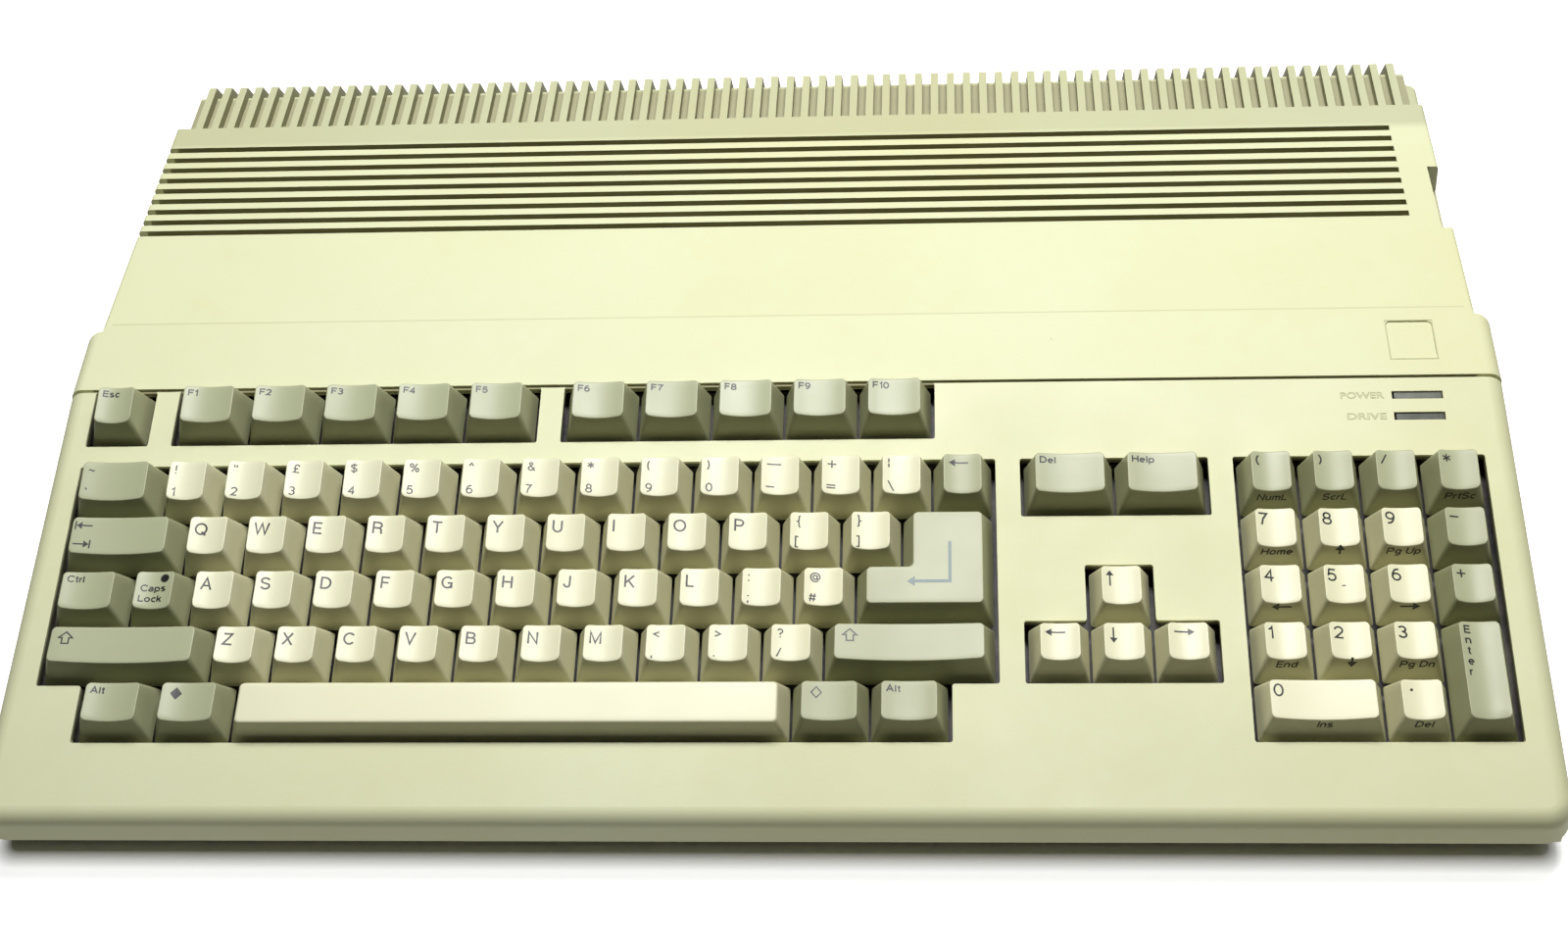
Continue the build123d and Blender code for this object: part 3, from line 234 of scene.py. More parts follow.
# Painted shade, with some dirt, in the lid's grooves, wells and vents, where the surface lies below the plane
# around it.
# A plane is its height at Y = 0 and its rise. A zone is its plane, the depths where the painted shade starts
# and is full, where it ends, its reach in Y and its tone: grooves, rib floor, crest line, sides of the
# crease, key wells (near black, shade only).
recessValues = {
    "reachX": 0.2262, "patchScale": 90.0, "patchSpan": (0.3, 0.7), "patchShare": (0.88, 1.0),
    # Painted shade behind the vents: the lid darker toward its rear, and the sides of the ribs there darker
    # still
    "vents": (0.108, 0.112), "rearShadeTone": (0.77, 0.77, 0.76, 1.0), "ribSideShadeTone": (0.66, 0.64, 0.56, 1.0),
    "sideways": (0.6, 0.9),
    "planes": {"plateau": (0.0618094, -0.02095), "crease": (0.06330977, 0.2401),
               "band": (0.060546269, 0.08397), "deck": (0.063313, 0.24008)},
    "zones": [
        ("plateau", (0.00002, 0.00012), 0.0027, (0.058, 0.111), (132, 127, 90)),
        ("plateau", (0.0026, 0.0034), 0.009, (0.1210, 0.1440), (168, 164, 132)),
        ("plateau", (-0.0012, -0.001), 0.0008, (0.0117, 0.0123), (188, 187, 148)),
        ("crease", (0.0002, 0.0005), 0.0027, (-0.0184, -0.0176), (128, 123, 88)),
        ("band", (0.0002, 0.0005), 0.0027, (-0.0178, -0.0170), (128, 123, 88)),
        ("deck", (0.0004, 0.0016), 0.05, (-0.1385, -0.0186), (34, 31, 24)),
    ],
}


def makeRecessDirtAndShade(values):
    work, given, out = newGroup("recessDirtAndShade", {"Vector": None, "Color": (0.7, 0.7, 0.5, 1.0), "Amount": 0.8},
                                {"Color": "Color"})
    axes = work.axes(given["Vector"])
    patch = work.noise(given["Vector"], values["patchScale"], 3.0)
    patch = work.remap(patch, *values["patchSpan"], values["patchShare"])
    inside = work.math("LESS_THAN", work.math("ABSOLUTE", axes["X"]), values["reachX"])
    patch = work.times(patch, inside, given["Amount"])
    colour = given["Color"]
    # Each zone: painted shade, partly dirt, where the surface lies far enough below its plane
    for plane, depths, foot, (front, rear), tone in values["zones"]:
        height, rise = values["planes"][plane]
        depth = work.math("SUBTRACT", work.math("MULTIPLY_ADD", axes["Y"], rise, height), axes["Z"])
        sunk = work.times(work.remap(depth, *depths), work.math("LESS_THAN", depth, foot))
        behind, before = work.math("GREATER_THAN", axes["Y"], front), work.math("LESS_THAN", axes["Y"], rear)
        colour = work.blend(work.times(sunk, work.times(behind, before), patch), colour, linear(tone))
    # Painted shade: darker behind the vents, toward the rear
    vent = work.remap(axes["Y"], *values["vents"])
    colour = work.blend(vent, colour, work.blend(1.0, colour, values["rearShadeTone"], "MULTIPLY"))
    # Painted shade: faces behind the vents that look sideways, the sides of the ribs, darker still
    sideways = work.remap(work.math("ABSOLUTE", work.axes(work.normal())["X"]), *values["sideways"])
    share = work.times(sideways, vent, inside)
    colour = work.blend(share, colour, work.blend(1.0, colour, values["ribSideShadeTone"], "MULTIPLY"))
    work.link(colour, out["Color"])
    return work.tree


# Painted shade: a keycap's skirt, the faces that turn away from the deck's up direction, takes a darker tone
# than its top face, for the shade inside the wells
skirtValues = {"facing": (0.78, 0.95)}


def makeSkirtShade(values):
    work, given, out = newGroup("skirtShade", {"Color": (0.7, 0.7, 0.5, 1.0), "Tone": (0.7, 0.7, 0.7, 1.0)},
                                {"Color": "Color"})
    facing = work.vector("DOT_PRODUCT", work.normal(), (0.0, -deckSin, deckCos))["Value"]
    share = work.remap(facing, *values["facing"], (1.0, 0.0))
    dark = work.blend(1.0, given["Color"], given["Tone"], "MULTIPLY")
    work.link(work.blend(share, given["Color"], dark), out["Color"])
    return work.tree


grainGroup, ageingGroup, dustGroup = makeGrain(grainValues), makeAgeing(ageingValues), makeDust(dustValues)
recessShadeGroup, skirtGroup = makeRecessDirtAndShade(recessValues), makeSkirtShade(skirtValues)


def startMaterial(name, rough, metal=0.0, coat=0.0, specular=0.5):
    material = bpy.data.materials.new(name)
    material.use_nodes = True
    work = NodeTree(material.node_tree)
    inputs = material.node_tree.nodes["Principled BSDF"].inputs
    for label, value in (("Roughness", rough), ("Metallic", metal), ("Coat Weight", coat),
                         ("Specular IOR Level", specular)):
        inputs[label].default_value = value
    return material, work, inputs, work.add("ShaderNodeTexCoord").outputs["Object"]


# Links a material's colour, roughness and relief to its shader
def dress(work, inputs, colour, rough, height, strength, distance):
    work.link(colour, inputs["Base Color"])
    if rough is not None:
        work.link(rough, inputs["Roughness"])
    made = work.add("ShaderNodeBump", {"Height": height, "Strength": strength, "Distance": distance})
    work.link(made.outputs["Normal"], inputs["Normal"])


# Moulded plastic: grain, uneven ageing and, inside the case, dust
def plasticMaterial(name, fresh, aged, rough=0.5, ageing=0.3, specks=0.3, grain=900.0, relief=0.00006,
                    strength=0.25, dust=0.0, specular=0.4, dirtAndShade=0.0, skirt=None):
    material, work, inputs, place = startMaterial(name, rough, specular=specular)
    skin = work.group(grainGroup, {"Vector": place, "Size": grain, "Roughness": rough})
    colour = work.group(ageingGroup, {"Vector": place, "Fresh": linear(fresh), "Aged": linear(aged),
                                      "Amount": ageing, "Specks": specks})["Color"]
    if dust:
        colour = work.group(dustGroup, {"Color": colour, "Vector": place, "Amount": dust})["Color"]
    # Painted shade: the caps' skirts darker than their top faces
    if skirt:
        colour = work.group(skirtGroup, {"Color": colour, "Tone": skirt})["Color"]
    # Painted shade, with some dirt, in the lid's grooves, rib floor and key wells, and behind its vents
    if dirtAndShade:
        colour = work.group(recessShadeGroup, {"Color": colour, "Vector": place, "Amount": dirtAndShade})["Color"]
    dress(work, inputs, colour, skin["Roughness"], skin["Height"], strength, relief)
    return material


# Plated sheet metal: fine drawn lines, dull patches and some dust
metalValues = {"metal": 0.9, "dust": 0.1, "stainScale": 30.0, "stainSpan": (0.35, 0.7),
               "lineSpan": (0.2, 0.8), "smoother": -0.1, "rougher": 0.18, "strength": 0.15, "relief": 0.00003}


def metalMaterial(name, tone, stain, rough=0.35, brush=(4.0, 900.0, 900.0), values=metalValues):
    material, work, inputs, place = startMaterial(name, rough, metal=values["metal"])
    drawn = work.add("ShaderNodeMapping", {"Vector": place, "Scale": brush}).outputs["Vector"]
    lines = work.noise(drawn, 1.0, 3.0, 0.6)
    patch = work.remap(work.noise(place, values["stainScale"], 4.0, 0.6), *values["stainSpan"])
    colour = work.blend(patch, linear(tone), linear(stain))
    colour = work.group(dustGroup, {"Color": colour, "Vector": place, "Amount": values["dust"]})["Color"]
    worn = work.remap(lines, *values["lineSpan"], (rough + values["smoother"], rough + values["rougher"]))
    dress(work, inputs, colour, worn, lines, values["strength"], values["relief"])
    return material


# Circuit board: green solder mask over copper tracks, with tinned pads in rows
boardValues = {"mask": (30, 98, 52), "overCopper": (24, 84, 44), "track": (58, 130, 70),
               "tin": (200, 198, 182), "trackScale": 90.0, "trackWidth": 0.09, "trackShift": 0.37,
               "padScale": 390.0, "padScatter": 0.15, "padSize": (0.2, 0.24), "fieldScale": 55.0,
               "fieldSpan": (0.52, 0.55), "coat": 0.4, "dust": 0.2, "roughness": (0.4, 0.25),
               "strength": 0.3, "relief": 0.00005}


def boardMaterial(name, values=boardValues):
    material, work, inputs, place = startMaterial(name, 0.35, coat=values["coat"])
    bricks = {"Vector": place, "Scale": values["trackScale"], "Mortar Size": values["trackWidth"],
              "Mortar Smooth": 0.1, "Color1": linear(values["mask"]),
              "Color2": linear(values["overCopper"]), "Mortar": linear(values["track"])}
    tracks = work.add("ShaderNodeTexBrick", bricks, offset=values["trackShift"], squash=1.7,
                      squash_frequency=3).outputs
    pads = work.cells(place, values["padScale"], values["padScatter"])["Distance"]
    fields = work.remap(work.noise(place, values["fieldScale"], 1.0), *values["fieldSpan"])
    tinned = work.times(work.remap(pads, *values["padSize"], (1.0, 0.0)), fields)
    colour = work.blend(tinned, tracks["Color"], linear(values["tin"]))
    colour = work.group(dustGroup, {"Color": colour, "Vector": place, "Amount": values["dust"]})["Color"]
    work.link(tinned, inputs["Metallic"])
    rough = work.remap(tinned, 0.0, 1.0, values["roughness"])
    dress(work, inputs, colour, rough, tracks["Fac"], values["strength"], values["relief"])
    return material


# Printed ink, slightly worn so that its tone isn't even
inkValues = {"rough": 0.45, "paler": 34, "wearScale": 900.0, "wearSpan": (0.55, 0.8), "wearMost": 0.35,
             "strength": 0.1, "relief": 0.00002}


def inkMaterial(name, tone, values=inkValues):
    material, work, inputs, place = startMaterial(name, values["rough"])
    worn = work.noise(place, values["wearScale"], 3.0, 0.7)
    worn = work.remap(worn, *values["wearSpan"], (0.0, values["wearMost"]))
    colour = work.blend(worn, linear(tone), linear([min(255, v + values["paler"]) for v in tone]))
    dress(work, inputs, colour, None, worn, values["strength"], values["relief"])
    return material


# Smoked indicator window with fine ribs across it and a dull front
lensValues = {"rough": 0.48, "specular": 0.3, "ribScale": 210.0, "hazeScale": 260.0, "hazeSpan": (0.3, 0.75),
              "hazeMost": 0.6, "hazeRoughness": (0.42, 0.55), "strength": 0.25, "relief": 0.00005}


def lensMaterial(name, tone, hazeTone, values=lensValues):
    material, work, inputs, place = startMaterial(name, values["rough"], specular=values["specular"])
    wave = {"Vector": place, "Scale": values["ribScale"], "Distortion": 0.2, "Detail": 1.0}
    ribs = work.add("ShaderNodeTexWave", wave, bands_direction="X").outputs["Fac"]
    most = values["hazeMost"]
    haze = work.remap(work.noise(place, values["hazeScale"], 3.0), *values["hazeSpan"], (0.0, most))
    colour = work.blend(haze, linear(tone), linear(hazeTone))
    rough = work.remap(haze, 0.0, most, values["hazeRoughness"])
    dress(work, inputs, colour, rough, ribs, values["strength"], values["relief"])
    return material


caseGrain = {"grain": 800.0, "specks": 0.25, "relief": 0.0001}
capGrain = {"rough": 0.42, "grain": 1500.0, "specks": 0.12, "relief": 0.00004, "strength": 0.2}
looks = {
    "shell": plasticMaterial("agedShellPlastic", (207, 210, 173), (200, 194, 142), rough=0.55, ageing=0.35,
                             strength=0.3, dirtAndShade=0.9, **caseGrain),
    "lowerShell": plasticMaterial("lowerShellPlastic", (200, 202, 165), (190, 182, 132), rough=0.58,
                                  ageing=0.4, strength=0.35, **caseGrain),
    # skirt: the tone of the painted shade on the caps' skirts
    "lightCap": plasticMaterial("creamCapPlastic", (221, 220, 189), (217, 209, 157), ageing=0.22,
                                skirt=(0.77, 0.76, 0.71, 1.0), **capGrain),
    "darkCap": plasticMaterial("khakiCapPlastic", (167, 172, 140), (162, 161, 118), ageing=0.28,
                               skirt=(0.8, 0.78, 0.72, 1.0), **capGrain),
    "black": plasticMaterial("blackMouldedPlastic", (34, 31, 36), (44, 40, 38), ageing=0.4, specks=0.1,
                             grain=700.0, dust=0.35),
    "bezel": plasticMaterial("driveFrontPlastic", (186, 184, 152), (178, 170, 122), ageing=0.35, specks=0.2,
                             dust=0.08),
    "chip": plasticMaterial("chipBodyPlastic", (30, 30, 32), (42, 41, 40), rough=0.55, ageing=0.5, specks=0.0,
                            grain=1600.0, dust=0.2),
    "film": plasticMaterial("contactFilm", (205, 200, 170), (196, 186, 140), rough=0.25, ageing=0.5,
                            specks=0.1, grain=300.0, relief=0.00002, dust=0.15, specular=0.6),
    "rubber": plasticMaterial("footRubber", (44, 43, 42), (58, 56, 52), rough=0.8, ageing=0.6, specks=0.0,
                              grain=500.0, dust=0.25, specular=0.25),
    "steel": metalMaterial("platedSteel", (186, 186, 184), (160, 158, 150), rough=0.36),
    "tinned": metalMaterial("tinnedSheet", (200, 200, 196), (170, 168, 158), rough=0.3,
                            brush=(900.0, 5.0, 900.0)),
    "board": boardMaterial("greenCircuitBoard"),
    "lens": lensMaterial("smokedWindow", (98, 102, 90), (84, 88, 78)),
    "dimLens": lensMaterial("dimSmokedWindow", (76, 80, 70), (62, 66, 58)),
    # A darker copy of the shell plastic: painted shade, so that the raised outline words and the badge rim
    # read as shaded
    "outline": plasticMaterial("shadedRaisedLinePlastic", (178, 180, 142), (168, 164, 116), specks=0.1),
    "ink": inkMaterial("legendInk", (22, 24, 22)),
    "paleInk": inkMaterial("returnLegendInk", (104, 122, 120)),
}

nodesByLook = {
    "shell": "top_case", "lowerShell": "bottom_case trapdoor_cover expansion_cover",
    "black": "keyboard_frame power_inlet", "film": "contact_membrane", "steel": "keyboard_back_plate screws",
    "board": "keyboard_controller led_board main_board", "lens": "led_lenses", "chip": "main_board_chips",
    "tinned": "upper_screen lower_screen drive_chassis dsub_sockets phono_jacks",
    "bezel": "drive_bezel eject_button", "rubber": "rubber_feet",
}
for look, names in nodesByLook.items():
    for name in names.split():
        nodes[name].data.materials.clear()
        nodes[name].data.materials.append(looks[look])
print("materials made:", len(looks))

# Keycaps, in mm. The lists run from the front row to the rear one.
capShape = {
    "gap": 0.85,              # between two neighbouring skirts
    "skirt": -3.6,            # foot of the skirt
    "sideInset": 3.2,
    "baseRadius": 1.0,
    "topRadius": 1.6,
    "edge": 0.34,             # soft edge round the top face
    "wall": 1.3,
    "roof": 2.0,              # middle of the top plane to the ceiling inside
    "hollowRadii": (0.4, 0.6),
    "dish": 1.2,
    "stemRadius": 2.3,
    "stemFoot": -8.8,
    "stemChamfer": 0.4,
    "stemRoot": 0.3,          # length of the stem inside the roof
    "stemSides": 20,
    "tops": [7.0, 7.0, 7.0, 7.5, 8.3, 8.6],
    "tilts": [-2.0, -2.0, 0.0, 2.0, 3.0, 3.0],
    "frontInsets": [3.4, 3.9, 3.4, 3.5, 3.6, 3.7],
    "backInsets": [2.4, 2.5, 2.4, 2.3, 1.4, 1.8],
    "stemShifts": [1.2, 1.05, 0.8, 0.7, 0.8, 0.9],   # stem behind the middle of its cell
    "longBar": {"top": 6.3, "roof": 1.2, "front": 2.5, "back": 2.3, "edge": 0.8},   # lower and rounder
    "longWidth": 4,           # in key widths; a longer cap is a bar, without a dish
    "longStem": 0.75,         # end of a bar to its outer stem, in key widths
    "cornerSteps": 4,
    "sideSteps": 6,
    "edgeSteps": (0.25, 0.5, 0.75),
    "topRings": (0.8, 0.6, 0.4, 0.2),   # shares of the way from the middle of the top to its rim
    "smooth": 32,             # edges sharper than this stay sharp, in degrees
    "fanShift": 5.0,          # rear of the two-row key's lower part to where the faces of its top meet
}
functionRow = 5.5


def run(count, start, row, width=1.0):
    return [(start + i * width, row, width, 1.0) for i in range(count)]


# Column, row, width and depth of each cap, in key widths from the front left
keyCells = {
    "key_left_alt": [(0.75, 0, 1.25, 1)], "key_left_special": [(2.0, 0, 1.25, 1)],
    "key_space_bar": [(3.25, 0, 9, 1)], "key_right_special": [(12.25, 0, 1.25, 1)],
    "key_right_alt": [(13.5, 0, 1.25, 1)], "key_left_shift": [(0, 1, 2.75, 1)],
    "keys_z_row": run(10, 2.75, 1), "key_right_shift": [(12.75, 1, 2.75, 1)],
    "key_ctrl": [(0, 2, 1.25, 1)], "key_caps_lock": [(1.25, 2, 1, 1)],
    "keys_a_row": run(11, 2.25, 2), "key_return": [(13.25, 2, 2.25, 1)], "key_tab": [(0, 3, 2, 1)],
    "keys_q_row": run(12, 2, 3), "key_tilde": [(0, 4, 1.5, 1)], "keys_number_row": run(13, 1.5, 4),
    "key_backspace": [(14.5, 4, 1, 1)], "key_esc": [(0, functionRow, 1, 1)],
    "keys_f1_to_f5": run(5, 1.5, functionRow, 1.25), "keys_f6_to_f10": run(5, 8.25, functionRow, 1.25),
    "key_del": [(16, 4, 1.5, 1)], "key_help": [(17.5, 4, 1.5, 1)], "key_up": [(17, 2, 1, 1)],
    "key_left": [(16, 1, 1, 1)], "key_down": [(17, 1, 1, 1)], "key_right": [(18, 1, 1, 1)],
    "keys_pad_123": run(3, 19.5, 1), "keys_pad_456": run(3, 19.5, 2), "keys_pad_789": run(3, 19.5, 3),
    "key_pad_0": [(19.5, 0, 2, 1)], "key_pad_point": [(21.5, 0, 1, 1)], "key_pad_enter": [(22.5, 0, 1, 2)],
    "key_pad_plus": [(22.5, 2, 1, 1)], "key_pad_minus": [(22.5, 3, 1, 1)],
    "key_pad_open": [(19.5, 4, 1, 1)], "key_pad_close": [(20.5, 4, 1, 1)],
    "key_pad_divide": [(21.5, 4, 1, 1)], "key_pad_times": [(22.5, 4, 1, 1)],
}
lightKeys = {"keys_z_row", "keys_a_row", "keys_q_row", "keys_number_row", "key_space_bar", "key_up",
             "key_left", "key_down", "key_right", "keys_pad_123", "keys_pad_456", "keys_pad_789",
             "key_pad_0", "key_pad_point"}
returnUpper = (14.0, 2, 1.5, 2)   # the part of the Return key that reaches a row up


# One keycap's measures, and the height of its top face at any point
class Cap:
    def __init__(self, cell, upper=None):
        column, row, width, depth = cell
        pitch, half, dish = deckGrid["pitch"], capShape["gap"] / 2, capShape["dish"]
        i = min(round(row + 0.01), len(capShape["tops"]) - 1)
        self.top, self.tilt = capShape["tops"][i], math.sin(math.radians(capShape["tilts"][i]))
        self.front, self.back = capShape["frontInsets"][i], capShape["backInsets"][i]
        self.edge, self.roof = capShape["edge"], capShape["roof"]
        long = width > capShape["longWidth"]
        if long:
            self.top, self.roof, self.front, self.back, self.edge = capShape["longBar"].values()
        self.x0, self.x1 = column * pitch + half, (column + width) * pitch - half
        self.t0, self.t1 = row * pitch + half, (row + depth) * pitch - half
        self.middleX = (self.x0 + self.x1) / 2
        self.middleT = (self.t0 + self.front + self.t1 - self.back) / 2
        self.upper = upper
        self.dished = upper is None and not long
        self.reach = (self.x1 - self.x0) / 2 - capShape["sideInset"]
        self.radius = (self.reach**2 + dish**2) / (2 * dish)
        self.centre = Vector((self.middleX, self.middleT))
        stemT, shift = (self.t0 + self.t1) / 2, capShape["stemShifts"][i]
        away = (width / 2 - capShape["longStem"]) * pitch if long else 0.0
        self.stems = [(self.middleX + k * away, stemT + shift) for k in ((-1, 0, 1) if long else (0,))]
        if upper:
            self.stepX = upper[0] * pitch + half
            self.topT = (upper[1] + upper[3]) * pitch - half
            self.centre = Vector(((self.stepX + self.x1) / 2, self.t1 - self.back - capShape["fanShift"]))
            self.stems = [(self.centre.x, (self.t0 + self.topT) / 2 + shift)]

    # Corners from the front left, anticlockwise, with the skirt drawn in by each amount
    def corners(self, shrink, side, front, back):
        left, right = self.x0 + shrink + side, self.x1 - shrink - side
        low, high = self.t0 + shrink + front, self.t1 - shrink - back
        if not self.upper:
            return [(left, low), (right, low), (right, high), (left, high)]
        step, top = self.stepX + shrink + side, self.topT - shrink - back
        return [(left, low), (right, low), (right, top), (step, top), (step, high), (left, high)]

    def plane(self, t):
        return self.top + (t - self.middleT) * self.tilt

    def height(self, x, t):
        h = self.plane(t)
        if self.dished:
            away = min(abs(x - self.middleX), self.reach)
            h -= capShape["dish"] - (self.radius - math.sqrt(self.radius**2 - away**2))
        return h


# Closed loop with each corner rounded, the same number of points whatever its size
def roundedLoop(corners, radius):
    loop, arcs, count = [], [], len(corners)
    steps, along = capShape["cornerSteps"], capShape["sideSteps"]
    for i in range(count):
        before, here, after = (Vector(corners[(i + k) % count]) for k in (-1, 0, 1))
        a, b = (before - here).normalized(), (after - here).normalized()
        start, end, centre = here + a * radius, here + b * radius, here + (a + b) * radius
        turns = [math.pi / 2 * k / steps for k in range(steps + 1)]
        arcs.append([centre + (start - centre) * math.cos(c) + (end - centre) * math.sin(c) for c in turns])
    for i, arc in enumerate(arcs):
        loop += arc
        after = arcs[(i + 1) % count][0]
        loop += [arc[-1].lerp(after, k / along) for k in range(1, along)]
    return loop


# Adds one hollow cap with its stems to a bmesh, in metres in the frame
def buildCap(mesh, cap):
    shape, edge = capShape, cap.edge
    insets = (shape["sideInset"], cap.front, cap.back)
    base = roundedLoop(cap.corners(0, 0, 0, 0), shape["baseRadius"])
    rim = roundedLoop(cap.corners(0, *insets), shape["topRadius"])
    inner = roundedLoop(cap.corners(edge, *insets), shape["topRadius"] - edge)
    centre = cap.centre

    def onTop(p):
        return Vector((p.x, p.y, cap.height(p.x, p.y)))

    foot = [Vector((p.x, p.y, shape["skirt"])) for p in base]
    sharp, spread = [], []
    for p, f in zip(rim, foot):     # the dish runs out over the sloping skirt, so its edge bows forward
        level = Vector((p.x, p.y, cap.plane(p.y)))
        bowed = level.lerp(f, (level.z - cap.height(p.x, p.y)) / (level.z - f.z))
        spread.append((bowed - level).xy)
        sharp.append(Vector((bowed.x, bowed.y, cap.height(p.x, bowed.y))))
    inner = [p + away for p, away in zip(inner, spread)]
    flat = [onTop(p) for p in inner]
    wall = [s + (f - s).normalized() * edge for f, s in zip(foot, sharp)]
    outer = [foot, [f.lerp(w, 0.5) for f, w in zip(foot, wall)], wall]
    for u in shape["edgeSteps"]:
        outer.append([w * (1 - u)**2 + s * 2 * u * (1 - u) + f * u * u for w, s, f in zip(wall, sharp, flat)])
    outer.append(flat)
    for share in shape["topRings"]:
        outer.append([onTop(centre + (p - centre) * share) for p in inner])
    hollowFoot = roundedLoop(cap.corners(shape["wall"], 0, 0, 0), shape["hollowRadii"][0])
    hollowTop = roundedLoop(cap.corners(shape["wall"], *insets), shape["hollowRadii"][1])
    ceiling = [Vector((p.x, p.y, cap.plane(p.y) - cap.roof)) for p in hollowTop]
    halfway = [Vector((*(centre + (p.xy - centre) * 0.5), p.z)) for p in ceiling]
    hollow = [[Vector((p.x, p.y, shape["skirt"])) for p in hollowFoot], ceiling, halfway]

    outer, hollow = ([[mesh.verts.new(onDeck(*p)) for p in r] for r in rings] for rings in (outer, hollow))
    for lower, upper in list(zip(outer, outer[1:])) + [(hollow[0], outer[0])] + list(zip(hollow[1:], hollow)):
        bridge(mesh, lower, upper)
    for ring, height, way in ((outer[-1], cap.height(*centre), 1), (hollow[-1], halfway[0].z, -1)):
        tip = mesh.verts.new(onDeck(*centre, height))
        for pair in zip(ring, ring[1:] + ring[:1]):
            mesh.faces.new((*pair[::way], tip))
    radius, low = shape["stemRadius"], shape["stemFoot"]
    profile = ((radius - shape["stemChamfer"], low), (radius, low + shape["stemChamfer"]),
               (radius, cap.top - cap.roof + shape["stemRoot"]))
    for x, t in cap.stems:
        ends = [[mesh.verts.new(onDeck(*p, h)) for p in circle(x, t, r, shape["stemSides"])]
                for r, h in profile]
        for lower, upper in zip(ends, ends[1:]):
            bridge(mesh, lower, upper)
        mesh.faces.new(ends[0][::-1])
        mesh.faces.new(ends[-1])


caps = {}
for name, cells in keyCells.items():
    caps[name] = [Cap(cell, returnUpper if name == "key_return" else None) for cell in cells]
    work = bmesh.new()
    for cap in caps[name]:
        buildCap(work, cap)
    tone = "light" if name in lightKeys else "dark"
    addPiece("cap_" + name, work, tone + "Cap", name, capShape["smooth"], name)
print("keycaps made:", sum(len(c) for c in caps.values()))

# Legends, in mm: height, stroke and widening of each kind of lettering
legendSizes = {
    "letter": (4.1, 0.6, 1.0), "digit": (4.1, 0.56, 1.12), "sign": (3.0, 0.45, 1.05),
    "word": (2.2, 0.46, 1.22), "front": (2.5, 0.48, 1.14),
}
legendShape = {
    "letterSpace": 0.14, "wordSpace": 0.3,    # in letter heights
    "frontSlant": 0.18, "frontRise": 7.0,
    "relief": 0.04,                       # ink over the face, so that it never lies level with it
    "depth": 0.15,                        # ink below the face
    "step": 0.004, "fillLift": 0.012,     # between strokes that cross, and to fillings, for the same reason
    "strip": 1.2, "firstStrip": 0.37,     # a legend bends with the dish at cuts this far apart
    "mitre": 0.42, "arcStep": 18, "arcLeast": 6,
}


# Strokes written as points x,y and arcs x,y,radius across,radius up,from,to
def readStrokes(text):
    strokes = [stroke.split() for stroke in text.split(";")]
    return [[tuple(float(v) for v in item.split(",")) for item in stroke] for stroke in strokes if stroke]


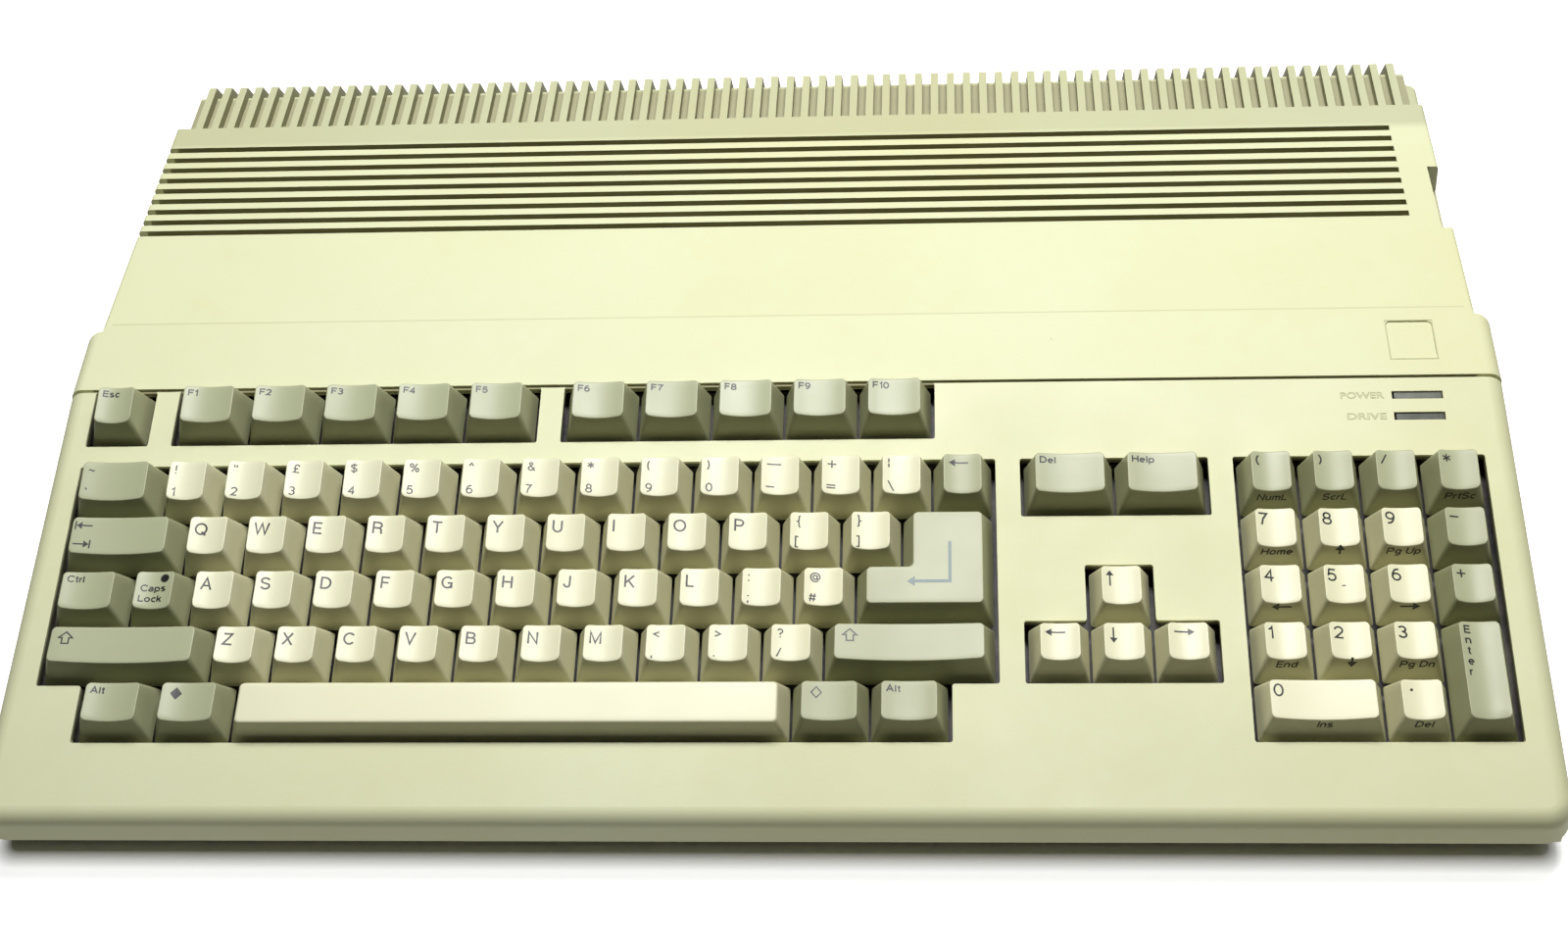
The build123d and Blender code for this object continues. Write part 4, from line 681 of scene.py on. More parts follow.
# Glyph strokes on a body 10 high
glyphs = {
    "A": "0.3,0 3.9,9.7 7.5,0; 1.6,3.4 6.2,3.4",
    "B": "0.6,5.2 0.6,9.4 3.8,9.4 3.9,7.3,2.2,2.1,90,-90 0.6,5.2 0.6,0.6 4,0.6 4.1,2.9,2.5,2.3,-90,90",
    "C": "4.4,5,3.8,4.5,40,320", "D": "0.6,0.6 0.6,9.4 3.2,9.4 3.3,5,3.9,4.4,90,-90 0.6,0.6",
    "E": "6.6,0.6 0.6,0.6 0.6,9.4 6.4,9.4; 0.6,5.1 5.9,5.1", "F": "0.6,0 0.6,9.4 6.2,9.4; 0.6,5 5.5,5",
    "G": "4.4,5,3.8,4.5,42,316 7.6,4.6 4.6,4.6; 7.6,3 7.6,0.2",
    "H": "0.6,0 0.6,10; 6.9,0 6.9,10; 0.6,5.1 6.9,5.1", "I": "0.6,0 0.6,10",
    "J": "4.8,10 4.8,3 2.7,2.9,2.1,2.4,0,-180", "K": "0.6,0 0.6,10; 6.8,10 0.9,3.6; 2.9,5.6 7.2,0",
    "L": "0.6,10 0.6,0.6 5.8,0.6", "M": "0.6,0 0.6,9.5 4.3,0.8 8,9.5 8,0",
    "N": "0.6,0 0.6,9.6 6.8,0.4 6.8,10", "O": "4.6,5,4.1,4.5,0,360",
    "P": "0.6,0 0.6,9.4 3.9,9.4 4,6.9,2.6,2.5,90,-90 0.6,4.4", "Q": "4.6,5,4.1,4.5,0,360; 5.2,2.7 8.3,-0.3",
    "R": "0.6,0 0.6,9.4 4.1,9.4 4.2,7.1,2.5,2.3,90,-90 0.6,4.8; 4.2,4.8 5.8,4.4 6.4,3.2 6.5,1 6.9,0",
    "S": "3.7,7.2,2.9,2.3,20,225 3.7,2.8,3.1,2.4,45,-160", "T": "3.8,0 3.8,9.4; 0.2,9.4 7.4,9.4",
    "U": "0.6,10 0.6,3.6 3.7,3.6,3.1,3.1,180,360 6.8,10", "V": "0.3,10 3.8,0.4 7.3,10",
    "W": "0.3,10 2.9,0.5 5.6,9.5 8.3,0.5 10.9,10", "X": "0.4,10 7,0; 6.9,10 0.3,0",
    "Y": "0.3,10 3.8,4.4 7.3,10; 3.8,4.4 3.8,0", "Z": "0.5,9.4 6.7,9.4 0.6,0.6 7,0.6",
    "0": "3.2,5,2.7,4.5,0,360", "1": "0.6,7.4 2.2,8 3.1,9.6 3.1,0",
    "2": "3.1,6.8,2.5,2.6,170,-40 0.7,0.6 5.9,0.6", "3": "3.1,7.3,2.3,2.1,155,-80 3.1,2.9,2.6,2.3,80,-155",
    "4": "4.4,0 4.4,9.3 0.6,3.1 6.2,3.1", "5": "5.6,9.4 1.6,9.4 3.1,3.3,2.6,2.8,145,-155",
    "6": "3.2,3.2,2.6,2.7,0,360; 4.3,3.6,3.7,5.8,180,78", "7": "0.4,9.4 5.8,9.4 3.2,5 2.2,0",
    "8": "3.2,7.3,2.2,2.2,0,360; 3.2,2.8,2.7,2.3,0,360",
    "9": "3.2,6.8,2.6,2.7,0,360; 2.1,6.4,3.7,5.8,0,-102",
    "a": "2.9,5.1,2.1,1.7,150,0 5,0.2; 5,4 2.6,2.2,2.1,1.7,90,285 5,2", "c": "3.1,3.6,2.5,3,45,315",
    "d": "3.1,3.6,2.5,3,0,360; 5.6,10 5.6,0", "e": "0.7,3.8 5.5,3.8 3.1,3.6,2.5,3,5,315",
    "g": "3.1,3.8,2.5,2.9,0,360; 5.6,7 5.6,-0.4 3.3,-0.4,2.3,2,0,-150",
    "k": "0.6,0 0.6,10; 4.8,7 0.8,3; 2.3,4.4 5,0", "l": "0.6,0 0.6,10",
    "m": "0.6,0 0.6,7; 2.4,4.8,1.8,1.8,180,0 4.2,0; 6,4.8,1.8,1.8,180,0 7.8,0",
    "n": "0.6,0 0.6,7; 2.9,4.6,2.3,2,180,0 5.2,0", "o": "3.2,3.6,2.7,3,0,360",
    "p": "0.6,-2.6 0.6,7; 3.2,3.6,2.6,3,0,360", "r": "0.6,0 0.6,7; 0.6,4.6 1.5,6.2 3.2,6.7",
    "s": "2.6,5.2,2,1.4,25,225 2.6,2,2.2,1.5,45,-155",
    "t": "1.8,9.2 1.8,1.6 2.4,0.6 3.4,0.6; 0.2,6.7 3.4,6.7",
    "u": "0.6,7 0.6,2.6 2.9,2.5,2.3,2,180,360; 5.2,7 5.2,0", "!": "0.6,9.9 0.6,3.2; 0.6,1.3 0.6,0",
    '"': "0.6,9.9 0.6,6.8; 3,9.9 3,6.8",
    "£": "4,7.1,2.2,2.3,15,185 2.5,3.2 1.8,1.4 0.7,0.6 6.3,0.6; 0.5,4.8 4.9,4.8",
    "$": "3.3,7,2.6,1.9,20,225 3.3,2.9,2.8,2.1,45,-160; 3.3,-0.9 3.3,10.6",
    "%": "2,7.4,1.5,2,0,360; 7.4,2.4,1.5,2,0,360; 7,9.8 2.4,0", "^": "0.6,6.2 2.7,9.6 4.8,6.2",
    "&": "7,0.2 1.9,6.9 3,8.1,1.5,1.4,215,-45 1.6,4.4 2.9,2.7,2.3,2.1,135,330 6.5,4.6",
    "*": "3.3,9.6 3.3,2.4; 0.3,7.8 6.3,4.2; 0.3,4.2 6.3,7.8", "(": "4.7,4.6,4.1,7,130,230",
    ")": "-2.5,4.6,4.1,7,50,-50", "_": "0,5 14,5", "-": "0.3,5 8.6,5", "+": "0,4.6 8.8,4.6; 4.4,0.2 4.4,9",
    "=": "0,3.2 8.8,3.2; 0,6.3 8.8,6.3", "\\": "0.3,10.6 5.7,-0.8", "|": "0.6,10 0.6,5.8; 0.6,4.2 0.6,0",
    "{": "3.2,10.8 2.1,10.2 1.8,8.6 1.8,6 1.4,4.8 0.4,4.3 1.4,3.8 1.8,2.6 1.8,0 2.1,-1.6 3.2,-2.2",
    "}": "0.2,10.8 1.3,10.2 1.6,8.6 1.6,6 2,4.8 3,4.3 2,3.8 1.6,2.6 1.6,0 1.3,-1.6 0.2,-2.2",
    "[": "3.2,10.4 0.6,10.4 0.6,-1.4 3.2,-1.4", "]": "0.2,10.4 2.8,10.4 2.8,-1.4 0.2,-1.4",
    ":": "0.6,7.6 0.6,6.1; 0.6,1.5 0.6,0", ";": "0.8,7.6 0.8,6.1; 0.8,1.5 0.8,0 0.3,-1.6",
    "@": "4.9,4.2,4.5,5,310,-10 8.2,1.9 6.9,1.9 6.7,3 7,6.4; 4.7,4.2,1.9,2.4,0,360",
    "#": "2.4,9.4 1.2,0.2; 5.6,9.4 4.4,0.2; 0.3,6.4 6.8,6.4; 0,3.1 6.4,3.1", "<": "5.8,7.4 0.6,4.4 5.8,1.4",
    ">": "0.6,7.4 5.8,4.4 0.6,1.4", ",": "0.8,1.5 0.8,0 0.3,-1.6", ".": "0.8,1.5 0.8,0",
    "?": "2.9,7.3,2.3,2.2,165,-40 2.9,4.4 2.9,3; 2.9,1.3 2.9,0", "/": "0.3,0 4.2,10",
    "~": "0.3,4.2 1.3,5.3 2.4,5.2 3.9,4 5,3.9 6,5", "`": "0.3,9.9 2,7.6", " ": "",
}
# Signs drawn at their full size, in mm: the width of their strokes, the strokes, and filled outlines
signs = {
    "arrowLeft": (0.5, "1.5,1.2 6.1,1.2", "0,1.2 2,0 2,2.4"),
    "arrowRight": (0.5, "0,1.2 4.6,1.2", "6.1,1.2 4.1,2.4 4.1,0"),
    "arrowUp": (0.5, "1.2,0 1.2,3.9", "1.2,5.2 0,3.5 2.4,3.5"),
    "arrowDown": (0.5, "1.2,5.2 1.2,1.3", "1.2,0 2.4,1.7 0,1.7"),
    "frontUp": (0.7, "1.5,0 1.5,2.2", "1.5,3.9 0,1.7 3,1.7"),
    "frontDown": (0.7, "1.5,3.9 1.5,1.7", "1.5,0 3,2.2 0,2.2"),
    "frontLeft": (0.65, "1.7,1.5 6,1.5", "0,1.5 2.2,0 2.2,3"),
    "frontRight": (0.65, "0,1.5 4.3,1.5", "6,1.5 3.8,3 3.8,0"),
    "padOpen": (0.5, "2.9,1.65,2.6,2.4,137,223", ""), "padClose": (0.5, "-1.6,1.65,2.6,2.4,43,-43", ""),
    "padSlash": (0.48, "0,0 1.7,3.2", ""), "padPlus": (0.5, "0,1.35 2.7,1.35; 1.35,0 1.35,2.7", ""),
    "padMinus": (0.5, "0,0.25 2.7,0.25", ""), "homing": (0.4, "0,0 1.1,0", ""),
    "tabLeft": (0.46, "0.23,0 0.23,2.9; 1.4,1.45 5.5,1.45", "0.45,1.45 2.2,0.2 2.2,2.7"),
    "tabRight": (0.46, "5.27,0 5.27,2.9; 0,1.45 4.1,1.45", "5.05,1.45 3.3,2.7 3.3,0.2"),
    "shiftArrow": (0.46, "2.65,4.2 0.5,2.2 1.6,2.2 1.6,0.23 3.7,0.23 3.7,2.2 4.8,2.2 2.65,4.2", ""),
    "returnArrow": (1, "13.1,15.4 13.1,1.7 1.9,1.7", "0,1.7 2.4,0 2.4,3.4"),
    "diamondFull": (0.3, "", "1.8,4.2 0,2.1 1.8,0 3.6,2.1"),
    "diamondOpen": (0.4, "1.8,3.9 0.3,2.1 1.8,0.3 3.3,2.1 1.8,3.9", ""),
}
signs = {name: (line, readStrokes(drawn), readStrokes(filled))
         for name, (line, drawn, filled) in signs.items()}
star = circle(1.3, 1.3, 1.3, 12)
signs["padStar"] = (0.46, [[star[k], star[k + 6]] for k in (1, 3, 5)], [])
signs["padPoint"] = (0.3, [], [circle(0.45, 0.45, 0.45, 16)])
signs["lockDot"] = (0.3, [], [circle(1.4, 1.4, 1.4, 24)])


# Points of a stroke, with its arcs drawn out
def strokePoints(stroke):
    points = []
    for item in stroke:
        if len(item) == 2:
            points.append(Vector(item))
            continue
        x, y, across, up, start, end = item
        count = max(legendShape["arcLeast"], round(abs(end - start) / legendShape["arcStep"]))
        turns = [math.radians(start + (end - start) * k / count) for k in range(count + 1)]
        points += [Vector((x + across * math.cos(a), y + up * math.sin(a))) for a in turns]
    return points[:1] + [p for before, p in zip(points, points[1:]) if (p - before).length > 1e-4]


# Adds a stroke of even width to a bmesh as a strip of faces with mitred corners
def addStroke(mesh, stroke, line, lift):
    points = strokePoints(stroke)
    closed = (points[0] - points[-1]).length < 1e-3
    if closed:
        points = points[:-1]
    count, sides = len(points), []
    for i, here in enumerate(points):
        before = points[i - 1] if closed or i else None
        after = points[(i + 1) % count] if closed or i < count - 1 else None
        a = (here - before).normalized() if before is not None else None
        b = (after - here).normalized() if after is not None else None
        a, b = a or b, b or a
        along = (a + b).normalized()
        across = Vector((-along.y, along.x))
        reach = line / 2 / max(legendShape["mitre"], across.dot(Vector((-a.y, a.x))))
        sides.append([mesh.verts.new((*(here + across * reach * k), lift)) for k in (1, -1)])
    for i in range(count if closed else count - 1):
        (a, b), (c, d) = sides[i], sides[(i + 1) % count]
        mesh.faces.new((a, b, d, c))


# A sign, or one line of lettering, flat, its left foot at the origin
def legendMesh(what, kind):
    mesh, step = bmesh.new(), legendShape["step"]
    if what in signs:
        line, strokes, filled = signs[what]
        for k, stroke in enumerate(strokes):
            addStroke(mesh, stroke, line, k * step)
        for k, loop in enumerate(filled):
            mesh.faces.new([mesh.verts.new((x, y, legendShape["fillLift"] + k * step)) for x, y in loop])
        return mesh
    size, line, widen = legendSizes[kind]
    x, unit = 0.0, size / 10
    for letter in what:
        start = len(mesh.verts)
        for k, stroke in enumerate(readStrokes(glyphs[letter])):
            scaled = [(item[0] * unit * widen + x, item[1] * unit) + ((item[2] * unit * widen, item[3] * unit)
                      + item[4:] if len(item) > 2 else ()) for item in stroke]
            addStroke(mesh, scaled, line, k * step)
        mesh.verts.ensure_lookup_table()
        far = max([v.co.x for v in mesh.verts[start:]], default=x + legendShape["wordSpace"] * size)
        x = far + legendShape["letterSpace"] * size
    return mesh


# Gives a flat legend a back, places each vertex by how far it lies out of the face, and adds it to the rest
def press(into, part, spot):
    made = bmesh.ops.extrude_face_region(part, geom=part.faces[:])["geom"]
    raised = {v for v in made if isinstance(v, bmesh.types.BMVert)}
    for v in part.verts:
        v.co = spot(v.co.x, v.co.y, legendShape["relief"] + v.co.z if v in raised else -legendShape["depth"])
    bmesh.ops.recalc_face_normals(part, faces=part.faces[:])
    mesh = bpy.data.meshes.new("part")
    part.to_mesh(mesh)
    part.free()
    absorb(into, mesh)


# Lays a legend on a cap's top face, at so much from its left edge, and from its rear edge or its front one
def layOnTop(into, cap, what, kind, left, drop=None, rise=None):
    part = legendMesh(what, kind)
    low, high = min(v.co.x for v in part.verts), max(v.co.x for v in part.verts)
    x = cap.x0 + capShape["sideInset"] + left - low
    t = cap.t0 + cap.front + (rise or 0.0)
    if rise is None:
        tall = max(v.co.y for v in part.verts) if what in signs else legendSizes[kind][0]
        t = (cap.topT if cap.upper else cap.t1) - cap.back - drop - tall
    cut = math.ceil(low) + legendShape["firstStrip"]
    while cap.dished and cut < high:
        bmesh.ops.bisect_plane(part, geom=part.verts[:] + part.edges[:] + part.faces[:], plane_co=(cut, 0, 0),
                               plane_no=(1, 0, 0), dist=0.0001)
        cut += legendShape["strip"]
    press(into, part, lambda px, pt, out: onDeck(x + px, t + pt, cap.height(x + px, t + pt) + out))


# Lays a legend on the middle of a cap's front skirt, under its top edge; lettering leans, signs stand up
def layOnFront(into, cap, what):
    part = legendMesh(what, "front")
    lean = 0.0 if what in signs else legendShape["frontSlant"]
    x = cap.middleX - max(v.co.x for v in part.verts) / 2
    foot, head = capShape["skirt"], cap.plane(cap.t0 + cap.front)
    slope = math.atan2(cap.front, head - foot)

    def spot(px, pt, out):
        up = legendShape["frontRise"] + pt
        return onDeck(x + px + pt * lean, cap.t0 + up * math.sin(slope) - out * math.cos(slope),
                      foot + up * math.cos(slope) + out * math.sin(slope))

    press(into, part, spot)


letterRows = {"keys_q_row": "QWERTYUIOP", "keys_a_row": "ASDFGHJKL", "keys_z_row": "ZXCVBNM"}
signPairs = {
    "keys_number_row": ["!1", '"2', "£3", "$4", "%5", "^6", "&7", "*8", "(9", ")0", "_-", "+=", "|\\"],
    "keys_q_row": ["{[", "}]"], "keys_a_row": [":;", "@#"], "keys_z_row": ["<,", ">.", "?/"],
    "key_tilde": ["~`"],
}
wordKeys = {"key_ctrl": ["Ctrl"], "key_left_alt": ["Alt"], "key_right_alt": ["Alt"], "key_esc": ["Esc"],
            "key_del": ["Del"], "key_help": ["Help"], "keys_f1_to_f5": ["F1", "F2", "F3", "F4", "F5"],
            "keys_f6_to_f10": ["F6", "F7", "F8", "F9", "F10"]}
digitKeys = {"keys_pad_123": "123", "keys_pad_456": "456", "keys_pad_789": "789", "key_pad_0": "0"}
# Place of each kind on the top face, from its left edge and its rear one, or front one for the lower sign
legendPlaces = {"letter": (1.55, 2.1), "upper": (1.7, 1.4), "lower": (1.5, 0.9), "word": (1.4, 1.2),
                "digit": (1.0, 1.3)}
# Signs on top faces: each with its place from the left edge and the rear edge
signKeys = {
    "key_left_shift": [("shiftArrow", 2.0, 1.4)], "key_right_shift": [("shiftArrow", 2.0, 1.4)],
    "key_backspace": [("arrowLeft", 1.6, 1.7)], "key_up": [("arrowUp", 1.3, 1.4)],
    "key_down": [("arrowDown", 1.6, 1.4)], "key_left": [("arrowLeft", 1.4, 1.7)],
    "key_right": [("arrowRight", 1.8, 1.7)], "key_left_special": [("diamondFull", 2.6, 1.4)],
    "key_right_special": [("diamondOpen", 2.6, 1.4)],
    "key_tab": [("tabLeft", 0.8, 1.4), ("tabRight", 1.0, 7.9)], "key_caps_lock": [("lockDot", 7.4, 0.8)],
    "key_return": [("returnArrow", 12.4, 10.4)], "key_pad_plus": [("padPlus", 1.3, 1.7)],
    "key_pad_minus": [("padMinus", 1.3, 2.8)], "key_pad_open": [("padOpen", 1.4, 1.3)],
    "key_pad_close": [("padClose", 1.5, 1.3)], "key_pad_divide": [("padSlash", 1.4, 1.4)],
    "key_pad_times": [("padStar", 1.3, 1.5)], "key_pad_point": [("padPoint", 2.6, 2.7)],
}
# Stacked lettering on one cap: what, its kind, and its place from the left edge and the rear edge
stackedKeys = {
    "key_caps_lock": [("Caps", "word", 1.6, 4.5), ("Lock", "word", 1.4, 8.1)],
    "key_pad_enter": [(c, "front", 1.65 if c == "t" else 1.3, 1.2 + 3.5 * k) for k, c in enumerate("Enter")],
}
frontWords = {
    "key_pad_open": ["NumL"], "key_pad_close": ["ScrL"], "key_pad_times": ["PrtSc"],
    "keys_pad_789": ["Home", "frontUp", "Pg Up"], "keys_pad_456": ["frontLeft", "", "frontRight"],
    "keys_pad_123": ["End", "frontDown", "Pg Dn"], "key_pad_0": ["Ins"], "key_pad_point": ["Del"],
}
homing = {"key": "keys_pad_456", "left": 5.2, "drop": 6.6}   # bar under the middle digit


def addLegends(name, into):
    group, letters, (left, rise) = caps[name], letterRows.get(name, ""), legendPlaces["lower"]
    for kind, texts in (("letter", letterRows), ("word", wordKeys), ("digit", digitKeys)):
        for cap, text in zip(group, texts.get(name, "")):
            layOnTop(into, cap, text, kind, *legendPlaces[kind])
    for cap, (upper, lower) in zip(group[len(letters):], signPairs.get(name, [])):
        layOnTop(into, cap, upper, "sign", *legendPlaces["upper"])
        layOnTop(into, cap, lower, "sign", left, rise=rise)
    for what, *spot in signKeys.get(name, []):
        layOnTop(into, group[0], what, None, *spot)
    for stacked in stackedKeys.get(name, []):
        layOnTop(into, group[0], *stacked)
    for cap, what in zip(group, frontWords.get(name, [])):
        if what:
            layOnFront(into, cap, what)
    if name == homing["key"]:
        layOnTop(into, group[1], "homing", None, homing["left"], homing["drop"])


for name in keyCells:
    work = bmesh.new()
    addLegends(name, work)
    if work.faces:
        addPiece("legends_" + name, work, "paleInk" if name == "key_return" else "ink", name)
print("legends made")

# Raised outline words beside the indicator windows, in mm: each word with its width
indicatorRows = {"power": 118.325, "drive": 110.525}
outlineWords = {"height": 2.3, "line": 0.1, "widths": {"power": 14.0, "drive": 12.6}, "right": 419.94,
                "capitalShare": 0.7, "curveSteps": 4, "smooth": 60}


# A word drawn as thin round rods along its outline
def outlineText(text, values):
    curve = bpy.data.curves.new("lettering", "FONT")
    curve.body, curve.size = text, values["height"] / values["capitalShare"]
    curve.resolution_u = values["curveSteps"]
    curve.fill_mode, curve.bevel_depth, curve.bevel_resolution = "NONE", values["line"], 1
    holder = addObject("lettering", curve)
    work = bmesh.new()
    absorb(work, evaluatedMesh(holder))
    bpy.data.curves.remove(curve)
    return work


for word, t in indicatorRows.items():
    part = outlineText(word.upper(), outlineWords)
    width = outlineWords["widths"][word]
    left, stretch = outlineWords["right"] - width, width / max(v.co.x for v in part.verts)
    for v in part.verts:
        v.co = onDeck(left + v.co.x * stretch, t - outlineWords["height"] / 2 + v.co.y, v.co.z)
    addPiece("word_" + word, part, "outline", "case", outlineWords["smooth"])
print("outline words made")

# Fine raised rim round the badge recess, in mm. It lies on the band: the Y and Z of its crease, and its rise.
badge = {"middle": (207.3, -2.1), "size": (14.6, 16.2), "rim": 0.4, "proud": 0.1, "sunk": 0.2,
         "crease": (-17.7, 59.06), "slope": 0.08397}


def onBand(x, y, lift):
    y += badge["middle"][1]
    level = badge["crease"][1] + (y - badge["crease"][0]) * badge["slope"]
    return Vector((badge["middle"][0] + x, y, level + lift)) * mm


work, rings = bmesh.new(), []
for lift in (-badge["sunk"], badge["proud"]):
    for wider in (0.0, badge["rim"]):
        a, b = (v / 2 + wider for v in badge["size"])
        rings.append([work.verts.new(onBand(x, y, lift)) for x, y in ((-a, -b), (a, -b), (a, b), (-a, b))])
low, lowOut, high, highOut = rings
for first, second in ((low, high), (high, highOut), (highOut, lowOut), (lowOut, low)):
    bridge(work, first, second)
bmesh.ops.recalc_face_normals(work, faces=work.faces[:])
addPiece("badge_rim", work, "outline", "case")
print("badge rim made")

# Indicator lenses, a little below the deck, with a dark gap at their left ends, in mm
lensShape = {"left": 423.0, "right": 438.05, "depth": 2.52, "sunk": 0.5, "thick": 2.4, "edge": 0.25,
             "edgeSteps": 3, "smooth": 40, "looks": {"power": "lens", "drive": "dimLens"}}
for lamp, t in indicatorRows.items():
    work = bmesh.new()
    width, middle = lensShape["right"] - lensShape["left"], (lensShape["left"] + lensShape["right"]) / 2
    for v in bmesh.ops.create_cube(work, size=1.0)["verts"]:
        v.co = (middle + v.co.x * width, t + v.co.y * lensShape["depth"],
                -lensShape["sunk"] - lensShape["thick"] * (0.5 - v.co.z))
    bmesh.ops.bevel(work, geom=work.edges[:], offset=lensShape["edge"], segments=lensShape["edgeSteps"],
                    profile=0.6, affect="EDGES")
    for v in work.verts:
        v.co = onDeck(*v.co)
    addPiece("lens_" + lamp, work, lensShape["looks"][lamp], "case", lensShape["smooth"],
             replaced="led_lenses")
print("indicator lenses made")


# Contacts of the D sockets: two staggered rows, as pins in the open sockets and as eyelets in the closed ones
def contactTree(sides=10, tipRadius=0.35, tipLength=1.2, loopSteps=14, wireSteps=5, wireRadius=0.3):
    inputs = {"Count": 12, "Pitch": 0.00276, "Row Gap": 0.00284, "Radius": 0.0005, "Length": 0.005,
              "Eyelets": False, "Material": None}
    work, given, out = newGroup("contactRows", inputs, {"Geometry": "Geometry"}, "GeometryNodeTree")
    radius, length = given["Radius"], given["Length"]

    def join(parts):
        made = work.add("GeometryNodeJoinGeometry")
        for part in parts:
            work.link(part, made.inputs[0])
        return made.outputs[0]

    def along(**axes):
        return work.add("ShaderNodeCombineXYZ", axes).outputs[0]

    rows = []
    for fewer, side in ((0, 0.5), (1, -0.5)):
        count = work.math("SUBTRACT", given["Count"], fewer)
        reach = work.times(work.math("SUBTRACT", count, 1), given["Pitch"], -0.5)
        start = along(X=reach, Z=work.times(given["Row Gap"], side))
        values = {"Count": count, "Start Location": start, "Offset": along(X=given["Pitch"])}
        rows.append(work.add("GeometryNodeMeshLine", values, mode="OFFSET").outputs["Mesh"])
    shaft = work.add("GeometryNodeMeshCylinder", {"Vertices": sides, "Radius": radius, "Depth": length})
    tip = work.add("GeometryNodeMeshCone", {
        "Vertices": sides, "Radius Top": work.times(radius, tipRadius), "Radius Bottom": radius,
        "Depth": work.times(radius, tipLength)}).outputs["Mesh"]
    lift = along(Z=work.times(length, 0.5))
    tip = work.add("GeometryNodeTransform", {"Geometry": tip, "Translation": lift})
    loop = work.add("GeometryNodeCurvePrimitiveCircle", {"Resolution": loopSteps, "Radius": radius})
    wire = work.add("GeometryNodeCurvePrimitiveCircle", {"Resolution": wireSteps,
                                                         "Radius": work.times(radius, wireRadius)})
    eyelet = work.add("GeometryNodeCurveToMesh", {"Curve": loop.outputs["Curve"],
                                                  "Profile Curve": wire.outputs["Curve"]}).outputs["Mesh"]
    pin = join((shaft.outputs["Mesh"], tip.outputs[0]))
    one = work.add("GeometryNodeSwitch", {"Switch": given["Eyelets"], "False": pin, "True": eyelet},
                   input_type="GEOMETRY").outputs[0]
    placed = work.add("GeometryNodeInstanceOnPoints", {"Points": join(rows), "Instance": one,
                                                       "Rotation": (-math.pi / 2, 0, 0)}).outputs[0]
    solid = work.add("GeometryNodeRealizeInstances", {"Geometry": placed}).outputs[0]
    values = {"Geometry": solid, "Material": given["Material"]}
    work.link(work.add("GeometryNodeSetMaterial", values).outputs[0], out["Geometry"])
    return work.tree


# A tree's result as a plain mesh, its inputs set by the sockets' identifiers
def growMesh(tree, values):
    holder = addObject("grown", bpy.data.meshes.new("grown"))
    modifier = holder.modifiers.new("grown", "NODES")
    modifier.node_group = tree
    for item in tree.interface.items_tree:
        if item.in_out == "INPUT" and item.name in values:
            modifier[item.identifier] = values[item.name]
    holder.update_tag()
    return evaluatedMesh(holder)


# In mm. A place is the middle, the shell's width, the contacts in the upper row, and if the socket is closed.
sockets = {
    "faceY": 164.4, "wellY": 159.0, "height": 20.5, "shell": 8.4, "taper": 0.18, "plateInset": 1.25,
    "plateRadius": 0.8, "plateRoot": 0.3, "plateThick": 0.5, "closedPlate": 0.06, "pinLength": 3.6,
    "pinRadius": 0.5, "eyeletRadius": 0.62, "contactRoot": 0.1, "pitch": 2.76, "rowGap": 2.84, "smooth": 40,
    "places": {"video": (-166.0, 38.0, 12, False), "printer": (-66.0, 41.0, 13, True),
               "serial": (-6.0, 41.0, 13, False), "disk": (54.0, 38.0, 12, True),
               "left_game": (146.0, 17.0, 5, False), "right_game": (188.0, 17.0, 5, False)},
}
rows, contacts, plates = contactTree(), bmesh.new(), bmesh.new()
for middle, width, count, closed in sockets["places"].values():
    face = sockets["faceY" if closed else "wellY"]
    length, thick = sockets["pinLength"], sockets["closedPlate" if closed else "plateThick"]
    mesh = growMesh(rows, {"Count": count, "Pitch": sockets["pitch"] * mm, "Row Gap": sockets["rowGap"] * mm,
                           "Radius": sockets["eyeletRadius" if closed else "pinRadius"] * mm,
                           "Length": length * mm, "Eyelets": closed, "Material": looks["tinned"]})
    reach = face + thick - sockets["contactRoot"] + (0.0 if closed else length / 2)
    mesh.transform(Matrix.Translation(Vector((middle, reach, sockets["height"])) * mm))
    absorb(contacts, mesh)
    high, wide = sockets["shell"] / 2 - sockets["plateInset"], width / 2 - sockets["plateInset"]
    foot = wide - 2 * high * sockets["taper"]
    loop = roundedLoop([(-foot, -high), (foot, -high), (wide, high), (-wide, high)], sockets["plateRadius"])
    rear = face - sockets["plateRoot"]
    flat = [plates.verts.new(Vector((middle - p.x, rear, sockets["height"] + p.y)) * mm) for p in loop]
    raised = bmesh.ops.extrude_face_region(plates, geom=[plates.faces.new(flat)])["geom"]
    for v in (g for g in raised if isinstance(g, bmesh.types.BMVert)):
        v.co.y = (face + thick) * mm
bmesh.ops.recalc_face_normals(plates, faces=plates.faces[:])
addPiece("socket_contacts", contacts, "tinned", "case", sockets["smooth"])
addPiece("socket_insulators", plates, "black", "case", sockets["smooth"])
print("socket contacts made")

# Floor, lights and camera, in metres
studio = {
    "floor": 6.0, "floorTone": (0.86, 0.86, 0.86, 1.0), "floorBounce": (0.62, 0.62, 0.59, 1.0),
    "floorRoughness": 0.9, "mottleScale": 5.0, "mottle": (0.97, 1.0),
    "foot": (0.230, 0.1565, 0.0),    # half of the footprint that stays dark, from the middle
    "glow": (0.003, 0.0098, 0.85),   # from that foot to where the floor starts to glow, and to full; strength
    "nearGlow": (0.06, 0.08, 0.3),   # to this, the glow lights the case too; none at this; share of the light
    "worldStrength": 0.02,
    "lights": {
        "overhead": {"place": (0.06, 0.24, 1.05), "size": (0.7, 0.3), "aim": (0.0, 0.0, 0.0), "power": 16.4},
        "side": {"place": (1.1, 0.3, 0.8), "size": (0.5, 0.5), "aim": (0.0, 0.0, 0.03), "power": 1.2},
    },
}
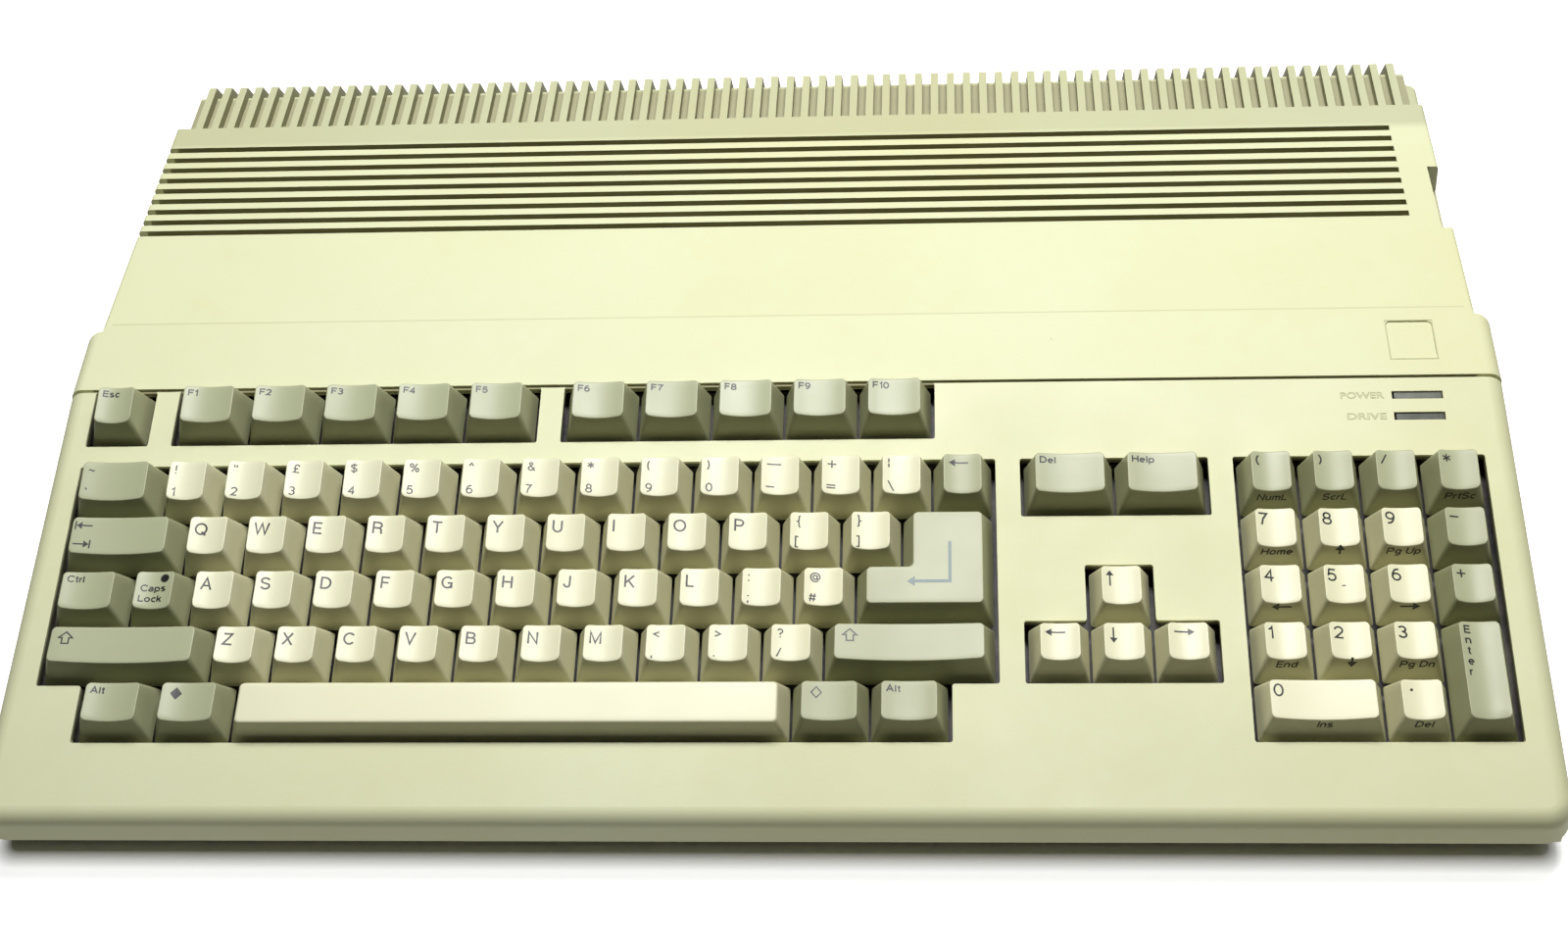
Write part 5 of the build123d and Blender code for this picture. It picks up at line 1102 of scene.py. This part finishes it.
white = (1.0, 1.0, 1.0, 1.0)
half = studio["floor"] / 2
mesh = bpy.data.meshes.new("studio_floor")
mesh.from_pydata([(-half, -half, 0), (half, -half, 0), (half, half, 0), (-half, half, 0)], [], [(0, 1, 2, 3)])
material, work, inputs, place = startMaterial("palePaper", studio["floorRoughness"])
shade = work.remap(work.noise(place, studio["mottleScale"], 2.0), 0.2, 0.8, studio["mottle"])
seen = work.add("ShaderNodeLightPath").outputs["Is Camera Ray"]    # the lens sees more than what bounces
tone = work.blend(seen, studio["floorBounce"], studio["floorTone"])
work.link(work.blend(1.0, tone, shade, "MULTIPLY"), inputs["Base Color"])
beyond = work.vector("SUBTRACT", work.vector("ABSOLUTE", place)[0], studio["foot"])[0]
beyond = work.vector("MAXIMUM", beyond, (0.0, 0.0, 0.0))[0]
away = work.vector("LENGTH", beyond)["Value"]
start, full, strength = studio["glow"]
near, none, share = studio["nearGlow"]
lit = work.math("MAXIMUM", seen, work.remap(away, near, none, (share, 0.0)))
work.link(work.times(work.remap(away, start, full, (0.0, strength)), lit), inputs["Emission Strength"])
inputs["Emission Color"].default_value = white
mesh.materials.append(material)
addObject("studio_floor", mesh)

for name, values in studio["lights"].items():
    lamp = bpy.data.lights.new(name, "AREA")
    lamp.shape, (lamp.size, lamp.size_y) = "RECTANGLE", values["size"]
    lamp.energy = values["power"]
    holder = addObject(name, lamp)
    holder.location = values["place"]
    aim = Vector(values["aim"]) - Vector(values["place"])
    holder.rotation_euler = aim.to_track_quat("-Z", "Y").to_euler()

world = bpy.data.worlds.new("studioAir")
world.use_nodes = True
air = world.node_tree.nodes["Background"].inputs
air["Color"].default_value, air["Strength"].default_value = white, studio["worldStrength"]
scene = bpy.context.scene
scene.world = world
scene.view_settings.view_transform, scene.view_settings.look = "Standard", "None"

cameraValues = {
    "lens": 52.69, "sensor": 36.0, "clip": (0.01, 20.0), "place": (0.05677, -0.55092, 0.58071),
    "right": (0.997478, 0.041919, -0.05728), "up": (0.008843, 0.727299, 0.686264),
    "back": (0.070427, -0.68504, 0.725093),
}
lens = bpy.data.cameras.new("camera")
lens.lens, lens.sensor_width, lens.sensor_fit = cameraValues["lens"], cameraValues["sensor"], "HORIZONTAL"
lens.clip_start, lens.clip_end = cameraValues["clip"]
camera = addObject("camera", lens)
turn = Matrix([cameraValues[way] for way in ("right", "up", "back")]).transposed()
camera.matrix_world = Matrix.Translation(cameraValues["place"]) @ turn.to_4x4()
scene.camera = camera
